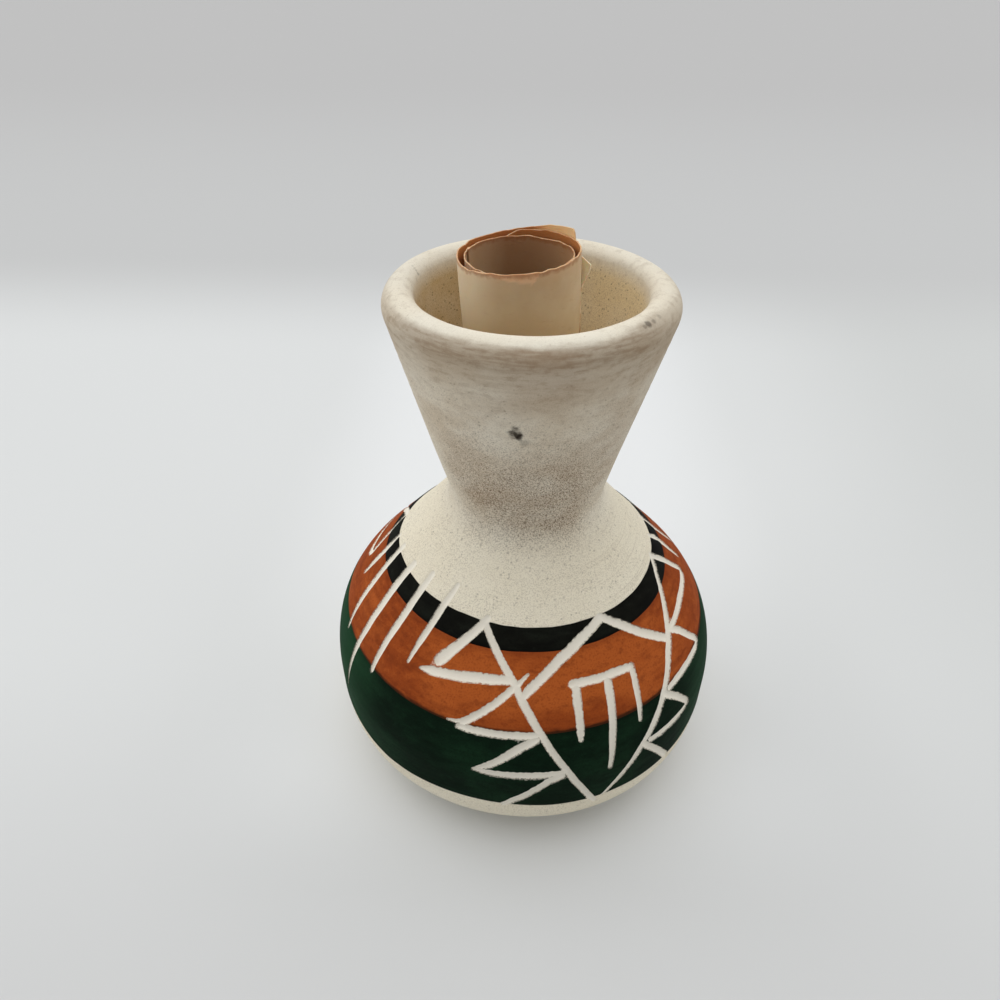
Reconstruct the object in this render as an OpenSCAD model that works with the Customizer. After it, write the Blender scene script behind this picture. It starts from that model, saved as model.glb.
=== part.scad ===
// Small pottery vase: a hollow, thrown clay body under three bands of coloured slip, with an
// ornament scratched through the slip to the clay, and a rolled paper leaflet standing in the neck.
// Sizes are in millimetres. The vase stands on z = 0 with its axis on Z, and its front faces -Y.
// A turn is an angle about the axis in degrees, counted from the front towards +X.

/* [Clay body] */
// Height to the top of the lip
vase_h = 138.5; // [120:0.5:180]
// Largest diameter, at the belly
belly_d = 110; // [90:1:130]
// Diameter over the lip
mouth_d = 66; // [52:1:80]
// Diameter where the straight lines of neck and shoulder would meet, before the fillet
waist_d = 38.6; // [34:0.2:50]
// Height where the straight lines of neck and shoulder would meet
waist_z = 82.8; // [76:0.2:95]
// Radius of the hollow between neck and shoulder
waist_fillet = 9; // [4:0.5:14]
// Radius of the curve from shoulder to belly
shoulder_round = 37; // [30:0.5:42]
// Height where the belly starts to curve in towards the shoulder
shoulder_z = 30; // [26:0.5:36]
// Radius of the curve from belly to foot
foot_round = 20; // [14:0.5:21]
// Height where the belly starts to curve in towards the foot
foot_z = 22; // [21:0.5:26]
// Diameter of the flat foot
foot_d = 72; // [56:1:84]
// Thickness of the thrown wall
wall = 6.4; // [4.5:0.1:8]
// Radius on the outside of the lip
lip_round = 4.2; // [2.6:0.1:4.6]
// How much thicker than the wall the lip is, towards the inside
lip_swell = 1; // [0:0.1:1.5]
// Height over which the wall thickens to the lip
lip_swell_h = 12; // [9:0.5:16]
// Thickness of the floor
floor_t = 5; // [4:0.5:9]

/* [Slip bands] */
// Thickness of each coat of slip
slip_t = 0.4; // [0.2:0.05:0.8]
// Top of the black band
black_top = 66.2; // [62:0.2:72]
// Height of the black band
black_h = 4.4; // [2:0.2:8]
// Height of the terracotta band
terracotta_h = 14.8; // [10:0.2:20]
// Height of the green band
green_h = 24.5; // [15:0.5:24.5]

/* [Scratched ornament] */
// How often the ornament repeats around the vase
repeats = 2; // [1:1:2]
// Turn of the first medallion's centre line
medallion_turn = 22; // [-90:1:90]
// Width of the medallion's lines
line_w = 2.3; // [1.2:0.1:3]
// Drop from one step of the zigzag borders to the next
step_drop = 10.1; // [8:0.1:11]
// Turn of the roof's peak from the centre line
peak_turn = 11; // [0:1:20]
// Turn of the comb's middle prong from the centre line
comb_turn = 5; // [-5:1:10]
// Turn between two prongs of the comb
comb_pitch = 10; // [6:0.5:12]
// Turn of each fan's middle line from the medallion's centre line
fan_turn = -83; // [-100:1:-70]
// Number of lines in a fan
fan_lines = 5; // [3:2:5]
// Turn between two lines of a fan at the top
fan_pitch = 13; // [8:0.5:15]
// Width of a fan's lines at the top
fan_w = 2.2; // [1:0.1:3]
// Width of a fan's lines at the lower tip
fan_tip_w = 1; // [0.4:0.1:1.5]

/* [Leaflet] */
// Length of the roll, the short side of the sheet
leaflet_len = 139; // [100:0.1:160]
// Thickness of the paper
paper_t = 0.25; // [0.15:0.05:0.5]
// Turns of paper in the roll
paper_turns = 2.05; // [1.25:0.05:4]
// Distance from one turn of paper to the next
paper_pitch = 0.85; // [0.6:0.05:2]
// Gap between the roll and the narrowest place of the neck
leaflet_gap = 0.6; // [0.3:0.1:4]
// Gap between the roll and the floor
seat_gap = 0.3; // [0.2:0.1:1]
// How far the roll leans towards -X, in degrees
leaflet_lean = 2.7; // [0:0.1:3]

/* [Hidden] */
$fa = 3;
$fs = 0.4;
// Turn from one point of a curve to the next
curve_step = 4;

// Turns of the zigzag borders from the centre line at each step, and of the tips of their teeth
left_border = [-37, -23.5, -15.5, -9.5, 0];
right_border = [55.5, 35.5, 22.5, 11, 0];
left_tip = [-54, -39.5, -34, -26.5];
right_tip = [66, 45.5, 33, 24.5];

belly_r = belly_d / 2;
black_foot = black_top - black_h;
terracotta_foot = black_foot - terracotta_h;
green_foot = terracotta_foot - green_h;

// Centres of the profile's curves, as [radius, height]
shoulder_c = [belly_r - shoulder_round, shoulder_z];
foot_c = [belly_r - foot_round, foot_z];
// The lip's outer round never takes more than its share of the wall
lip_r = min(lip_round, 0.68 * wall);
lip_c = [mouth_d / 2 - lip_r, vase_h - lip_r];
waist = [waist_d / 2, waist_z];
foot_edge = [foot_d / 2, 0];

function way(a) = [cos(a), sin(a)];

// Direction of the normal where a line from point p touches the circle round c
function touch(p, c, r, side) =
    atan2(p[1] - c[1], p[0] - c[0]) + side * acos(r / norm(p - c));

neck_a = touch(waist, lip_c, lip_r, 1);
shoulder_a = touch(waist, shoulder_c, shoulder_round, -1);
foot_a = touch(foot_edge, foot_c, foot_round, 1);

// Centre of the fillet at the waist, from the directions of the two lines that meet there
up_dir = [-sin(neck_a), cos(neck_a)];
down_dir = [sin(shoulder_a), -cos(shoulder_a)];
waist_half = acos(up_dir * down_dir) / 2;
mid_dir = (up_dir + down_dir) / norm(up_dir + down_dir);
waist_c = waist + mid_dir * waist_fillet / sin(waist_half);

// Inside of the lip and of the floor's corner
lip_in_r = (wall + lip_swell - lip_r * (1 - sin(neck_a))) / (1 + sin(neck_a));
lip_in_c = [lip_c[0], vase_h - lip_in_r];
neck_in = waist_c - (wall + waist_fillet) * way(neck_a);
swell_foot = neck_in + up_dir * (vase_h - lip_swell_h - neck_in[1]) / up_dir[1];
lip_in_a = 360 + touch(swell_foot, lip_in_c, lip_in_r, -1);
corner_round = foot_round - wall;
corner_c = [foot_c[0], floor_t + corner_round];

// Points along a curve round c, from one direction to another; a hollow curve has a negative radius
function curve(c, r, a0, a1) =
    let (n = max(1, ceil(abs(a1 - a0) / curve_step)))
    [for (i = [0 : n]) c + r * way(a0 + (a1 - a0) * i / n)];

function backwards(points) = [for (i = [len(points) - 1 : -1 : 0]) points[i]];

function from_second(points) = [for (i = [1 : len(points) - 1]) points[i]];

// Outside from the foot's curve up to the top of the waist, moved outwards by t.
// The straight lines of foot, belly and shoulder lie between the curves.
function skin(t) = concat(
    curve(foot_c, foot_round + t, foot_a, 0),
    curve(shoulder_c, shoulder_round + t, 0, shoulder_a),
    curve(waist_c, t - waist_fillet, shoulder_a, neck_a)
);

// Inside from the top of the waist down to the middle of the floor
function inside() = concat(
    curve(waist_c, -wall - waist_fillet, neck_a, shoulder_a),
    curve(shoulder_c, shoulder_round - wall, shoulder_a, 0),
    curve(corner_c, corner_round, 0, -90)
);

// The lip: a wide round outside and a smaller one inside, which meet at its top,
// and the place on the inside where the wall starts to thicken
function lip() = concat(
    curve(lip_c, lip_r, neck_a, 90),
    from_second(curve(lip_in_c, lip_in_r, 90, lip_in_a)),
    [swell_foot]
);

// Roll of paper: it takes its size from the neck's narrowest place
waist_in_r = waist_c[0] - waist_fillet - wall;
leaflet_r = waist_in_r - leaflet_gap;
leaflet_seat = floor_t + seat_gap + leaflet_r * sin(leaflet_lean);
outer_edge_turn = 8;

// Where the curve of the shoulder runs into its straight line
shoulder_end = shoulder_c + shoulder_round * way(shoulder_a);

// Radius of the skin at height z, from the foot's curve to the shoulder
function skin_r(z) =
    z < foot_z ? foot_c[0] + sqrt(foot_round^2 - (z - foot_z)^2)
    : z < shoulder_z ? belly_r
    : z < shoulder_end[1] ? shoulder_c[0] + sqrt(shoulder_round^2 - (z - shoulder_z)^2)
    : shoulder_end[0] - (z - shoulder_end[1]) * tan(shoulder_a);

// Slope of the skin's normal at height z
function skin_a(z) =
    z < foot_z ? -asin((foot_z - z) / foot_round)
    : z < shoulder_z ? 0
    : min(shoulder_a, asin(min(1, (z - shoulder_z) / shoulder_round)));

function on_skin(turn, z) = [skin_r(z) * sin(turn), -skin_r(z) * cos(turn), z];
function skin_normal(turn, z) =
    [cos(skin_a(z)) * sin(turn), -cos(skin_a(z)) * cos(turn), sin(skin_a(z))];

// Height of each step of the ornament, the last one at the foot of the green band
function level(i) = i < 4 ? black_top - i * step_drop : green_foot;

// How far a scratch's cutter reaches below and above the line between its ends
cut_below = 1.5;
cut_above = 1.5;

// The thrown wall from the middle of the foot, up the outside, over the lip and down the inside
module clay_profile() {
    polygon(concat([[0, 0], foot_edge], skin(0), lip(), inside(), [[0, floor_t]]));
}

// A plain ring of slip on the skin, between two heights
module slip_ring(z0, z1) {
    rotate_extrude()
        intersection() {
            polygon(concat(skin(slip_t), backwards(skin(0))));
            translate([0, z0])
                square([belly_d, z1 - z0]);
        }
}

// One scratch: a straight cut with pointed ends between two places on the skin.
// It is left out of a band, from lo to hi, that it doesn't reach.
module scratch(turn0, z0, turn1, z1, w0, w1, lo, hi) {
    p0 = on_skin(turn0, z0);
    p1 = on_skin(turn1, z1);
    len = norm(p1 - p0);
    along = (p1 - p0) / len;
    lean = skin_normal(turn0, z0) + skin_normal(turn1, z1);
    square_to = lean - (lean * along) * along;
    out = square_to / norm(square_to);
    side = cross(out, along);
    mid = (p0 + p1) / 2;
    height = cut_below + cut_above + len^2 / 200;
    if (min(z0, z1) - w0 < hi && max(z0, z1) + w0 > lo)
        multmatrix([
            [along[0], side[0], out[0], mid[0]],
            [along[1], side[1], out[1], mid[1]],
            [along[2], side[2], out[2], mid[2]],
            [0, 0, 0, 1]
        ])
            translate([0, 0, -cut_below])
                linear_extrude(height)
                    polygon([
                        [-(len + w0) / 2, 0],
                        [-len / 2, w0 / 2],
                        [len / 2, w1 / 2],
                        [(len + w1) / 2, 0],
                        [len / 2, -w1 / 2],
                        [-len / 2, -w0 / 2]
                    ]);
}

// One line of a medallion, from one place to another by turn and step
module line(c, turn0, z0, turn1, z1, lo, hi) {
    scratch(c + turn0, z0, c + turn1, z1, line_w, line_w, lo, hi);
}

// A zigzag border: it steps down towards the medallion's point, with a tooth out to the side at each step
module zigzag(c, border, tip, lo, hi) {
    for (i = [0 : 3]) {
        line(c, border[i], level(i), border[i + 1], level(i + 1), lo, hi);
        line(c, border[i], level(i), tip[i], level(i + 1), lo, hi);
        if (i < 3)
            line(c, tip[i], level(i + 1), border[i + 1], level(i + 1), lo, hi);
    }
}

// The comb that hangs inside the medallion: a bar and three prongs, the middle one longer
module comb(c, lo, hi) {
    below = line_w;
    line(c, comb_turn - comb_pitch, level(1), comb_turn + comb_pitch, level(1), lo, hi);
    for (i = [-1 : 1])
        line(c, comb_turn + i * comb_pitch, level(1),
            comb_turn + i * comb_pitch - 1, level(3 - abs(i)) - below, lo, hi);
}

// A medallion: two zigzag borders that meet in a point, a roof between them and the comb
module medallion(c, lo, hi) {
    zigzag(c, left_border, left_tip, lo, hi);
    zigzag(c, right_border, right_tip, lo, hi);
    line(c, left_border[1], level(1), peak_turn, level(0), lo, hi);
    line(c, peak_turn, level(0), right_border[1], level(1), lo, hi);
    comb(c, lo, hi);
}

// A fan of slanting lines, the middle one longest, that starts on the bare shoulder
module fan(c, lo, hi) {
    last = (fan_lines - 1) / 2;
    above = 2;
    narrowing = 0.87;
    for (i = [-last : last])
        scratch(c + i * fan_pitch - 2, black_top + above,
            c + i * fan_pitch * narrowing + 1, level(last + 1 - abs(i)), fan_w, fan_tip_w, lo, hi);
}

// The whole ornament, as far as it crosses a band from lo to hi
module ornament(lo, hi) {
    for (k = [0 : repeats - 1]) {
        medallion(medallion_turn + k * 360 / repeats, lo, hi);
        fan(medallion_turn + fan_turn + k * 360 / repeats, lo, hi);
    }
}

// A band of slip with the ornament scratched through it
module slip_band(lo, hi) {
    difference() {
        slip_ring(lo, hi);
        ornament(lo, hi);
    }
}

// Sheet of paper on edge, rolled inwards from its outer edge; s is the side of the sheet, -1 or 1
function roll_point(a, s) =
    (leaflet_r - paper_t / 2 - paper_pitch * a / 360 + s * paper_t / 2) * way(outer_edge_turn + a);

module roll_profile() {
    step = 9;
    end = 360 * paper_turns;
    polygon(concat(
        [for (a = [0 : step : end]) roll_point(a, 1)],
        [for (a = [end : -step : 0]) roll_point(a, -1)]
    ));
}

module clay_body() {
    color([0.86, 0.79, 0.68])
        rotate_extrude()
            clay_profile();
}

module black_slip_band() {
    color([0.07, 0.07, 0.06])
        slip_band(black_foot, black_top);
}

module terracotta_slip_band() {
    color([0.55, 0.26, 0.12])
        slip_band(terracotta_foot, black_foot);
}

module green_slip_band() {
    color([0.07, 0.17, 0.11])
        slip_band(green_foot, terracotta_foot);
}

// The roll leans about the middle of the neck's narrowest place
module rolled_leaflet() {
    below_waist = (waist_c[1] - leaflet_seat) / cos(leaflet_lean);
    color([0.72, 0.57, 0.38])
        translate([0, 0, waist_c[1]])
            rotate([0, -leaflet_lean, 0])
                translate([0, 0, -below_waist])
                    linear_extrude(leaflet_len)
                        roll_profile();
}

clay_body();
black_slip_band();
terracotta_slip_band();
green_slip_band();
rolled_leaflet();
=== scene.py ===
"""Looks of a small pottery vase: cream clay, three scratched bands of slip and a rolled leaflet.

Sizes are in millimetres in the classes below and become metres when a mesh is made.  A turn is an
angle about the vase's axis in degrees, counted from the front (-Y) towards +X.
"""

from __future__ import annotations

import logging
import math
from dataclasses import dataclass, field
from enum import Enum
from functools import partial
from typing import Any, Iterable, Sequence

import bmesh
import bpy
import numpy as np
from mathutils import Matrix, Vector, kdtree

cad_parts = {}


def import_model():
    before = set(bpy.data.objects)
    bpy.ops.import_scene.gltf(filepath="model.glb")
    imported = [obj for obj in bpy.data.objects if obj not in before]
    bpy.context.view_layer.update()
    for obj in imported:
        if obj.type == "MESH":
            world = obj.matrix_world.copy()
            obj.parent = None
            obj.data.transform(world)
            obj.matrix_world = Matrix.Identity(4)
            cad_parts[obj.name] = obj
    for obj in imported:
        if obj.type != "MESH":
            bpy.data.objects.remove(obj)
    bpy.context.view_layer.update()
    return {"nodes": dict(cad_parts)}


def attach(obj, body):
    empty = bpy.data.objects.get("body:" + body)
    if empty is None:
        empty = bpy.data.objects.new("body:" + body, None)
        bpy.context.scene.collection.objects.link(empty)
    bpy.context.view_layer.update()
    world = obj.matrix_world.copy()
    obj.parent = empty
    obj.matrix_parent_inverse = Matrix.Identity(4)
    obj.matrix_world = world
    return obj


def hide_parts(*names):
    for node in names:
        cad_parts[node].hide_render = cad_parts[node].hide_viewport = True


log = logging.getLogger("vase")

MM = 0.001
Point = tuple[float, float]
Mark = tuple[float, float, float]
Colour = tuple[float, ...]
Number = int | float


def linear(red: int, green: int, blue: int) -> Colour:
    """Turn a colour as seen on a screen into the values that a shader takes.

    Args:
        red: Red from 0 to 255.
        green: Green from 0 to 255.
        blue: Blue from 0 to 255.

    Returns:
        The colour in linear light, with full alpha.
    """

    def one(channel: int) -> float:
        """Convert one channel."""
        value = channel / 255
        return value / 12.92 if value <= 0.04045 else ((value + 0.055) / 1.055) ** 2.4

    return (one(red), one(green), one(blue), 1.0)


def smooth(low: float, high: float, value: np.ndarray) -> np.ndarray:
    """Rise softly from 0 at low to 1 at high.

    Args:
        low: Value where the result leaves 0.
        high: Value where the result reaches 1.
        value: Values to map.

    Returns:
        The mapped values.
    """
    t = np.clip((np.asarray(value, dtype=float) - low) / (high - low), 0.0, 1.0)
    return t * t * (3.0 - 2.0 * t)


def course(stops: Sequence[Point], at: np.ndarray, period: float | None = None) -> np.ndarray:
    """Follow straight lines through stops given as (place, value)."""
    places, values = zip(*stops)
    return np.interp(at, places, values, period=period)


class Drift:
    """A smooth, seeded wandering line, used where a hand makes an edge uneven."""

    OPEN_COUNT = 512

    def __init__(self, seed: int, period: float, closed_at: float | None = None) -> None:
        """Set up the line.

        Args:
            seed: Seed of the wandering.
            period: Distance between two of its turning places.
            closed_at: Length after which it repeats, or None for a long open line.
        """
        self.count = self.OPEN_COUNT if closed_at is None else max(3, round(closed_at / period))
        self.period = period if closed_at is None else closed_at / self.count
        self.heights = np.random.default_rng(seed).uniform(-1.0, 1.0, self.count)

    def at(self, place: np.ndarray) -> np.ndarray:
        """Give the line's height, from -1 to 1, at each place along it.

        Args:
            place: Places along the line.

        Returns:
            The heights.
        """
        place = np.asarray(place, dtype=float) / self.period
        index = np.floor(place).astype(int)
        first = self.heights[index % self.count]
        second = self.heights[(index + 1) % self.count]
        return first + (second - first) * smooth(0.0, 1.0, place - index)


# Modelling


class Bench:
    """The modelling steps that the pieces share."""

    # Points of a spun outline, and of a carved piece, that lie nearer than this are merged.
    SPUN_GAP = 0.002
    CARVED_GAP = 0.003
    # Loose bits that carving leaves over have fewer faces than this.
    CRUMB_FACES = 40

    @staticmethod
    def clear() -> None:
        """Leave edit mode and deselect everything."""
        if bpy.context.object is not None and bpy.context.object.mode != "OBJECT":
            bpy.ops.object.mode_set(mode="OBJECT")
        bpy.ops.object.select_all(action="DESELECT")

    @staticmethod
    def take(piece: bpy.types.Object) -> None:
        """Make one object the only selected and active one.

        Args:
            piece: Object to select.
        """
        Bench.clear()
        piece.select_set(True)
        bpy.context.view_layer.objects.active = piece

    @staticmethod
    def face_out(piece: bpy.types.Object) -> None:
        """Turn all faces of a closed piece outwards.

        Args:
            piece: Closed object.
        """
        Bench.take(piece)
        bpy.ops.object.mode_set(mode="EDIT")
        bpy.ops.mesh.select_all(action="SELECT")
        bpy.ops.mesh.normals_make_consistent(inside=False)
        bpy.ops.object.mode_set(mode="OBJECT")

    @staticmethod
    def revolve(name: str, outline: Sequence[Point], steps: int, closed: bool) -> bpy.types.Object:
        """Draw an outline point by point and spin it about the axis.

        Args:
            name: Name of the new object.
            outline: Points as (radius, height) in millimetres.
            steps: Number of steps around.
            closed: Whether the outline's ends are joined before the spin.

        Returns:
            The closed mesh, with its normals outwards.
        """
        Bench.clear()
        start = Vector((outline[0][0] * MM, 0.0, outline[0][1] * MM))
        bpy.ops.mesh.primitive_plane_add(size=MM, location=start)
        piece = bpy.context.object
        piece.name = name
        piece.data.name = name
        bpy.ops.object.transform_apply(location=True, rotation=True, scale=True)
        bpy.ops.object.mode_set(mode="EDIT")
        bpy.ops.mesh.select_mode(type="VERT")
        bpy.ops.mesh.select_all(action="SELECT")
        bpy.ops.mesh.merge(type="CENTER")
        bpy.ops.mesh.select_all(action="SELECT")
        for (r0, z0), (r1, z1) in zip(outline, outline[1:]):
            move = ((r1 - r0) * MM, 0.0, (z1 - z0) * MM)
            bpy.ops.mesh.extrude_region_move(TRANSFORM_OT_translate={"value": move})
        if closed:
            mesh = bmesh.from_edit_mesh(piece.data)
            ends = [v for v in mesh.verts if len(v.link_edges) == 1]
            bpy.ops.mesh.select_all(action="DESELECT")
            for end in ends:
                end.select = True
            mesh.select_flush_mode()
            bmesh.update_edit_mesh(piece.data)
            bpy.ops.mesh.edge_face_add()
        bpy.ops.mesh.select_all(action="SELECT")
        bpy.ops.mesh.spin(steps=steps, angle=math.tau, center=(0, 0, 0), axis=(0, 0, 1))
        bpy.ops.mesh.select_all(action="SELECT")
        bpy.ops.mesh.remove_doubles(threshold=Bench.SPUN_GAP * MM)
        Bench.face_out(piece)
        return piece

    @staticmethod
    def points(piece: bpy.types.Object) -> np.ndarray:
        """Read an object's vertices, in millimetres.

        Args:
            piece: Object to read.

        Returns:
            Points, one row each.
        """
        flat = np.empty(len(piece.data.vertices) * 3)
        piece.data.vertices.foreach_get("co", flat)
        return flat.reshape(-1, 3) / MM

    @staticmethod
    def turns(points: np.ndarray) -> np.ndarray:
        """Give the turn of each point about the axis, in degrees."""
        return np.degrees(np.arctan2(points[:, 0], -points[:, 1]))

    @staticmethod
    def place(piece: bpy.types.Object, points: np.ndarray) -> None:
        """Write an object's vertices, given in millimetres."""
        piece.data.vertices.foreach_set("co", (points * MM).ravel())
        piece.data.update()

    @staticmethod
    def mark(piece: bpy.types.Object, name: str, values: np.ndarray) -> None:
        """Keep one number for each vertex under a name that a shader can read."""
        layer = piece.data.attributes.new(name, "FLOAT", "POINT")
        layer.data.foreach_set("value", np.asarray(values, dtype=np.float32))

    @staticmethod
    def carve(piece: bpy.types.Object, cutters: Iterable[bpy.types.Object]) -> None:
        """Cut each cutter out of a piece.

        Args:
            piece: Object to cut.
            cutters: Closed objects that are taken away from it.
        """
        for cutter in cutters:
            Bench.take(piece)
            step = piece.modifiers.new("carve", "BOOLEAN")
            step.operation = "DIFFERENCE"
            step.solver = "MANIFOLD"
            step.object = cutter
            bpy.ops.object.modifier_apply(modifier=step.name)
        Bench.clean(piece)

    @staticmethod
    def clean(piece: bpy.types.Object) -> None:
        """Split the many-cornered faces of a carved piece and drop what carving left over.

        Args:
            piece: Object that was carved.
        """
        near = Bench.CARVED_GAP * MM
        mesh = bmesh.new()
        mesh.from_mesh(piece.data)
        bmesh.ops.remove_doubles(mesh, verts=mesh.verts, dist=near)
        bmesh.ops.dissolve_degenerate(mesh, edges=mesh.edges, dist=near)
        bmesh.ops.triangulate(mesh, faces=mesh.faces, ngon_method="BEAUTY")
        same: dict[frozenset, list] = {}
        for face in mesh.faces:
            same.setdefault(frozenset(face.verts), []).append(face)
        back_to_back = [face for faces in same.values() if len(faces) > 1 for face in faces]
        bmesh.ops.delete(mesh, geom=back_to_back, context="FACES")
        crumbs = [island for island in Bench.islands(mesh) if len(island) < Bench.CRUMB_FACES]
        bmesh.ops.delete(mesh, geom=[face for island in crumbs for face in island], context="FACES")
        mesh.to_mesh(piece.data)
        mesh.free()
        piece.data.update()

    @staticmethod
    def islands(mesh: bmesh.types.BMesh) -> list[list[bmesh.types.BMFace]]:
        """Sort a mesh's faces into groups that hang together.

        Args:
            mesh: Mesh to sort.

        Returns:
            One list of faces for each group.
        """
        seen: set[bmesh.types.BMFace] = set()
        found = []
        for start in mesh.faces:
            if start in seen:
                continue
            seen.add(start)
            island = [start]
            for face in island:
                for edge in face.edges:
                    beside = [other for other in edge.link_faces if other not in seen]
                    seen.update(beside)
                    island.extend(beside)
            found.append(island)
        return found

    @staticmethod
    def finish(piece: bpy.types.Object, angle: float) -> None:
        """Shade a piece smooth, apart from edges sharper than an angle in degrees.

        Args:
            piece: Object to shade.
            angle: Angle between two faces.
        """
        Bench.take(piece)
        bpy.ops.object.shade_smooth_by_angle(angle=math.radians(angle))
        Bench.clear()


# Form of the vase


@dataclass(frozen=True)
class VaseForm:
    """The thrown form: the same sizes as the solid model, in millimetres."""

    height: float = 138.5
    belly_r: float = 55.0
    mouth_r: float = 33.0
    waist_r: float = 19.3
    waist_z: float = 82.8
    waist_fillet: float = 9.0
    shoulder_round: float = 37.0
    shoulder_z: float = 30.0
    foot_round: float = 20.0
    foot_z: float = 22.0
    foot_r: float = 36.0
    wall: float = 6.4
    lip_round: float = 4.2
    lip_swell: float = 1.0
    lip_swell_h: float = 12.0
    floor: float = 5.0
    # Width of the foot's rubbed edge, which the solid model leaves sharp.
    rubbed_edge: float = 1.6

    @staticmethod
    def way(angle: float) -> np.ndarray:
        """Give the unit vector at an angle in radians."""
        return np.array([math.cos(angle), math.sin(angle)])

    @staticmethod
    def touch(point: np.ndarray, centre: np.ndarray, radius: float, side: int) -> float:
        """Find the normal where a line from a point touches a circle.

        Args:
            point: Start of the line.
            centre: Centre of the circle.
            radius: Radius of the circle.
            side: 1 or -1, the side on which the line passes.

        Returns:
            The direction of the normal, in radians.
        """
        away = point - centre
        return math.atan2(away[1], away[0]) + side * math.acos(radius / float(np.hypot(*away)))

    @property
    def lip_c(self) -> np.ndarray:
        """Centre of the lip's outer round."""
        return np.array([self.mouth_r - self.lip_round, self.height - self.lip_round])

    @property
    def shoulder_c(self) -> np.ndarray:
        """Centre of the curve from shoulder to belly."""
        return np.array([self.belly_r - self.shoulder_round, self.shoulder_z])

    @property
    def foot_c(self) -> np.ndarray:
        """Centre of the curve from belly to foot."""
        return np.array([self.belly_r - self.foot_round, self.foot_z])

    @property
    def waist(self) -> np.ndarray:
        """Place where the lines of neck and shoulder would meet."""
        return np.array([self.waist_r, self.waist_z])

    @property
    def neck_a(self) -> float:
        """Normal of the neck's line."""
        return self.touch(self.waist, self.lip_c, self.lip_round, 1)

    @property
    def shoulder_a(self) -> float:
        """Normal of the shoulder's line."""
        return self.touch(self.waist, self.shoulder_c, self.shoulder_round, -1)

    @property
    def foot_a(self) -> float:
        """Normal of the line down to the foot's edge."""
        return self.touch(np.array([self.foot_r, 0.0]), self.foot_c, self.foot_round, 1)

    @property
    def waist_c(self) -> np.ndarray:
        """Centre of the hollow between neck and shoulder.

        Returns:
            Its radius and height.
        """
        up = np.array([-math.sin(self.neck_a), math.cos(self.neck_a)])
        down = np.array([math.sin(self.shoulder_a), -math.cos(self.shoulder_a)])
        half = math.acos(float(up @ down)) / 2
        middle = (up + down) / np.linalg.norm(up + down)
        return self.waist + middle * self.waist_fillet / math.sin(half)

    @staticmethod
    def curve(centre: np.ndarray, radius: float, start: float, end: float, step: float) -> list[Point]:
        """Points along a curve, about a step apart; a hollow curve has a negative radius.

        Args:
            centre: Centre of the curve.
            radius: Its radius.
            start: Direction of its first point, in radians.
            end: Direction of its last point, in radians.
            step: Distance between two points.

        Returns:
            The points.
        """
        count = max(2, math.ceil(abs(radius * (end - start)) / step))
        angles = np.linspace(start, end, count + 1)
        return [tuple(centre + radius * VaseForm.way(a)) for a in angles]

    @staticmethod
    def thicken(points: Sequence[Point], step: float) -> list[Point]:
        """Add points along straight stretches so that none is longer than a step.

        Args:
            points: Points of an outline.
            step: Longest stretch.

        Returns:
            The points with those between.
        """
        same_place = 1e-6
        result = [points[0]]
        for first, second in zip(points, points[1:]):
            gap = math.dist(first, second)
            if gap < same_place:
                continue
            count = max(1, math.ceil(gap / step))
            for i in range(1, count + 1):
                t = i / count
                result.append(tuple(a + (b - a) * t for a, b in zip(first, second)))
        return result

    def outline(self) -> list[Point]:
        """Outline of the wall from the middle of the foot, over the lip, to the middle of the floor.

        Returns:
            Points as (radius, height).
        """
        half_pi = math.pi / 2
        disc_step, foot_step, skin_step, neck_step, lip_step = 8.0, 1.6, 1.0, 1.4, 0.7
        hollow_step, inner_step = 2.4, 3.6
        thick, lean = self.wall + self.lip_swell, math.sin(self.neck_a)
        in_round = (thick - self.lip_round * (1 - lean)) / (1 + lean)
        in_c = np.array([self.lip_c[0], self.height - in_round])
        hollow = -self.wall - self.waist_fillet
        neck_in = self.waist_c + hollow * self.way(self.neck_a)
        rise = self.height - self.lip_swell_h - neck_in[1]
        swell_foot = neck_in + np.array([-math.tan(self.neck_a), 1.0]) * rise
        in_a = math.tau + self.touch(swell_foot, in_c, in_round, -1)
        corner = self.foot_round - self.wall
        corner_c = np.array([self.foot_c[0], self.floor + corner])
        under = [(ring * disc_step, 0.0) for ring in range(4)] + [(self.foot_r - 2 * self.rubbed_edge, 0.0)]
        rubbed = ((-1.0, 0.05), (-0.5, 0.22), (0.2, 0.75))
        under += [(self.foot_r + share * self.rubbed_edge, lift) for share, lift in rubbed]
        skin = self.curve(self.foot_c, self.foot_round, self.foot_a, 0.0, foot_step)
        skin += self.curve(self.shoulder_c, self.shoulder_round, 0.0, self.shoulder_a, skin_step)
        skin += self.curve(self.waist_c, -self.waist_fillet, self.shoulder_a, self.neck_a, skin_step)
        outside = self.thicken(under, disc_step) + self.thicken([under[-1]] + skin, skin_step)[1:]
        lip = self.curve(self.lip_c, self.lip_round, self.neck_a, half_pi, lip_step)
        lip += self.curve(in_c, in_round, half_pi, in_a, lip_step)[1:]
        neck = self.thicken([outside[-1], lip[0]], neck_step)
        inner_shoulder = self.shoulder_round - self.wall
        inside = [lip[-1], tuple(swell_foot)]
        inside += self.curve(self.waist_c, hollow, self.neck_a, self.shoulder_a, hollow_step)
        inside += self.curve(self.shoulder_c, inner_shoulder, self.shoulder_a, 0.0, inner_step)
        inside += self.curve(corner_c, corner, 0.0, -half_pi, inner_step)
        inside += [(ring * 1.5 * disc_step, self.floor) for ring in (2, 1, 0)]
        return outside + neck[1:] + lip[1:] + self.thicken(inside, inner_step)[1:]

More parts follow.
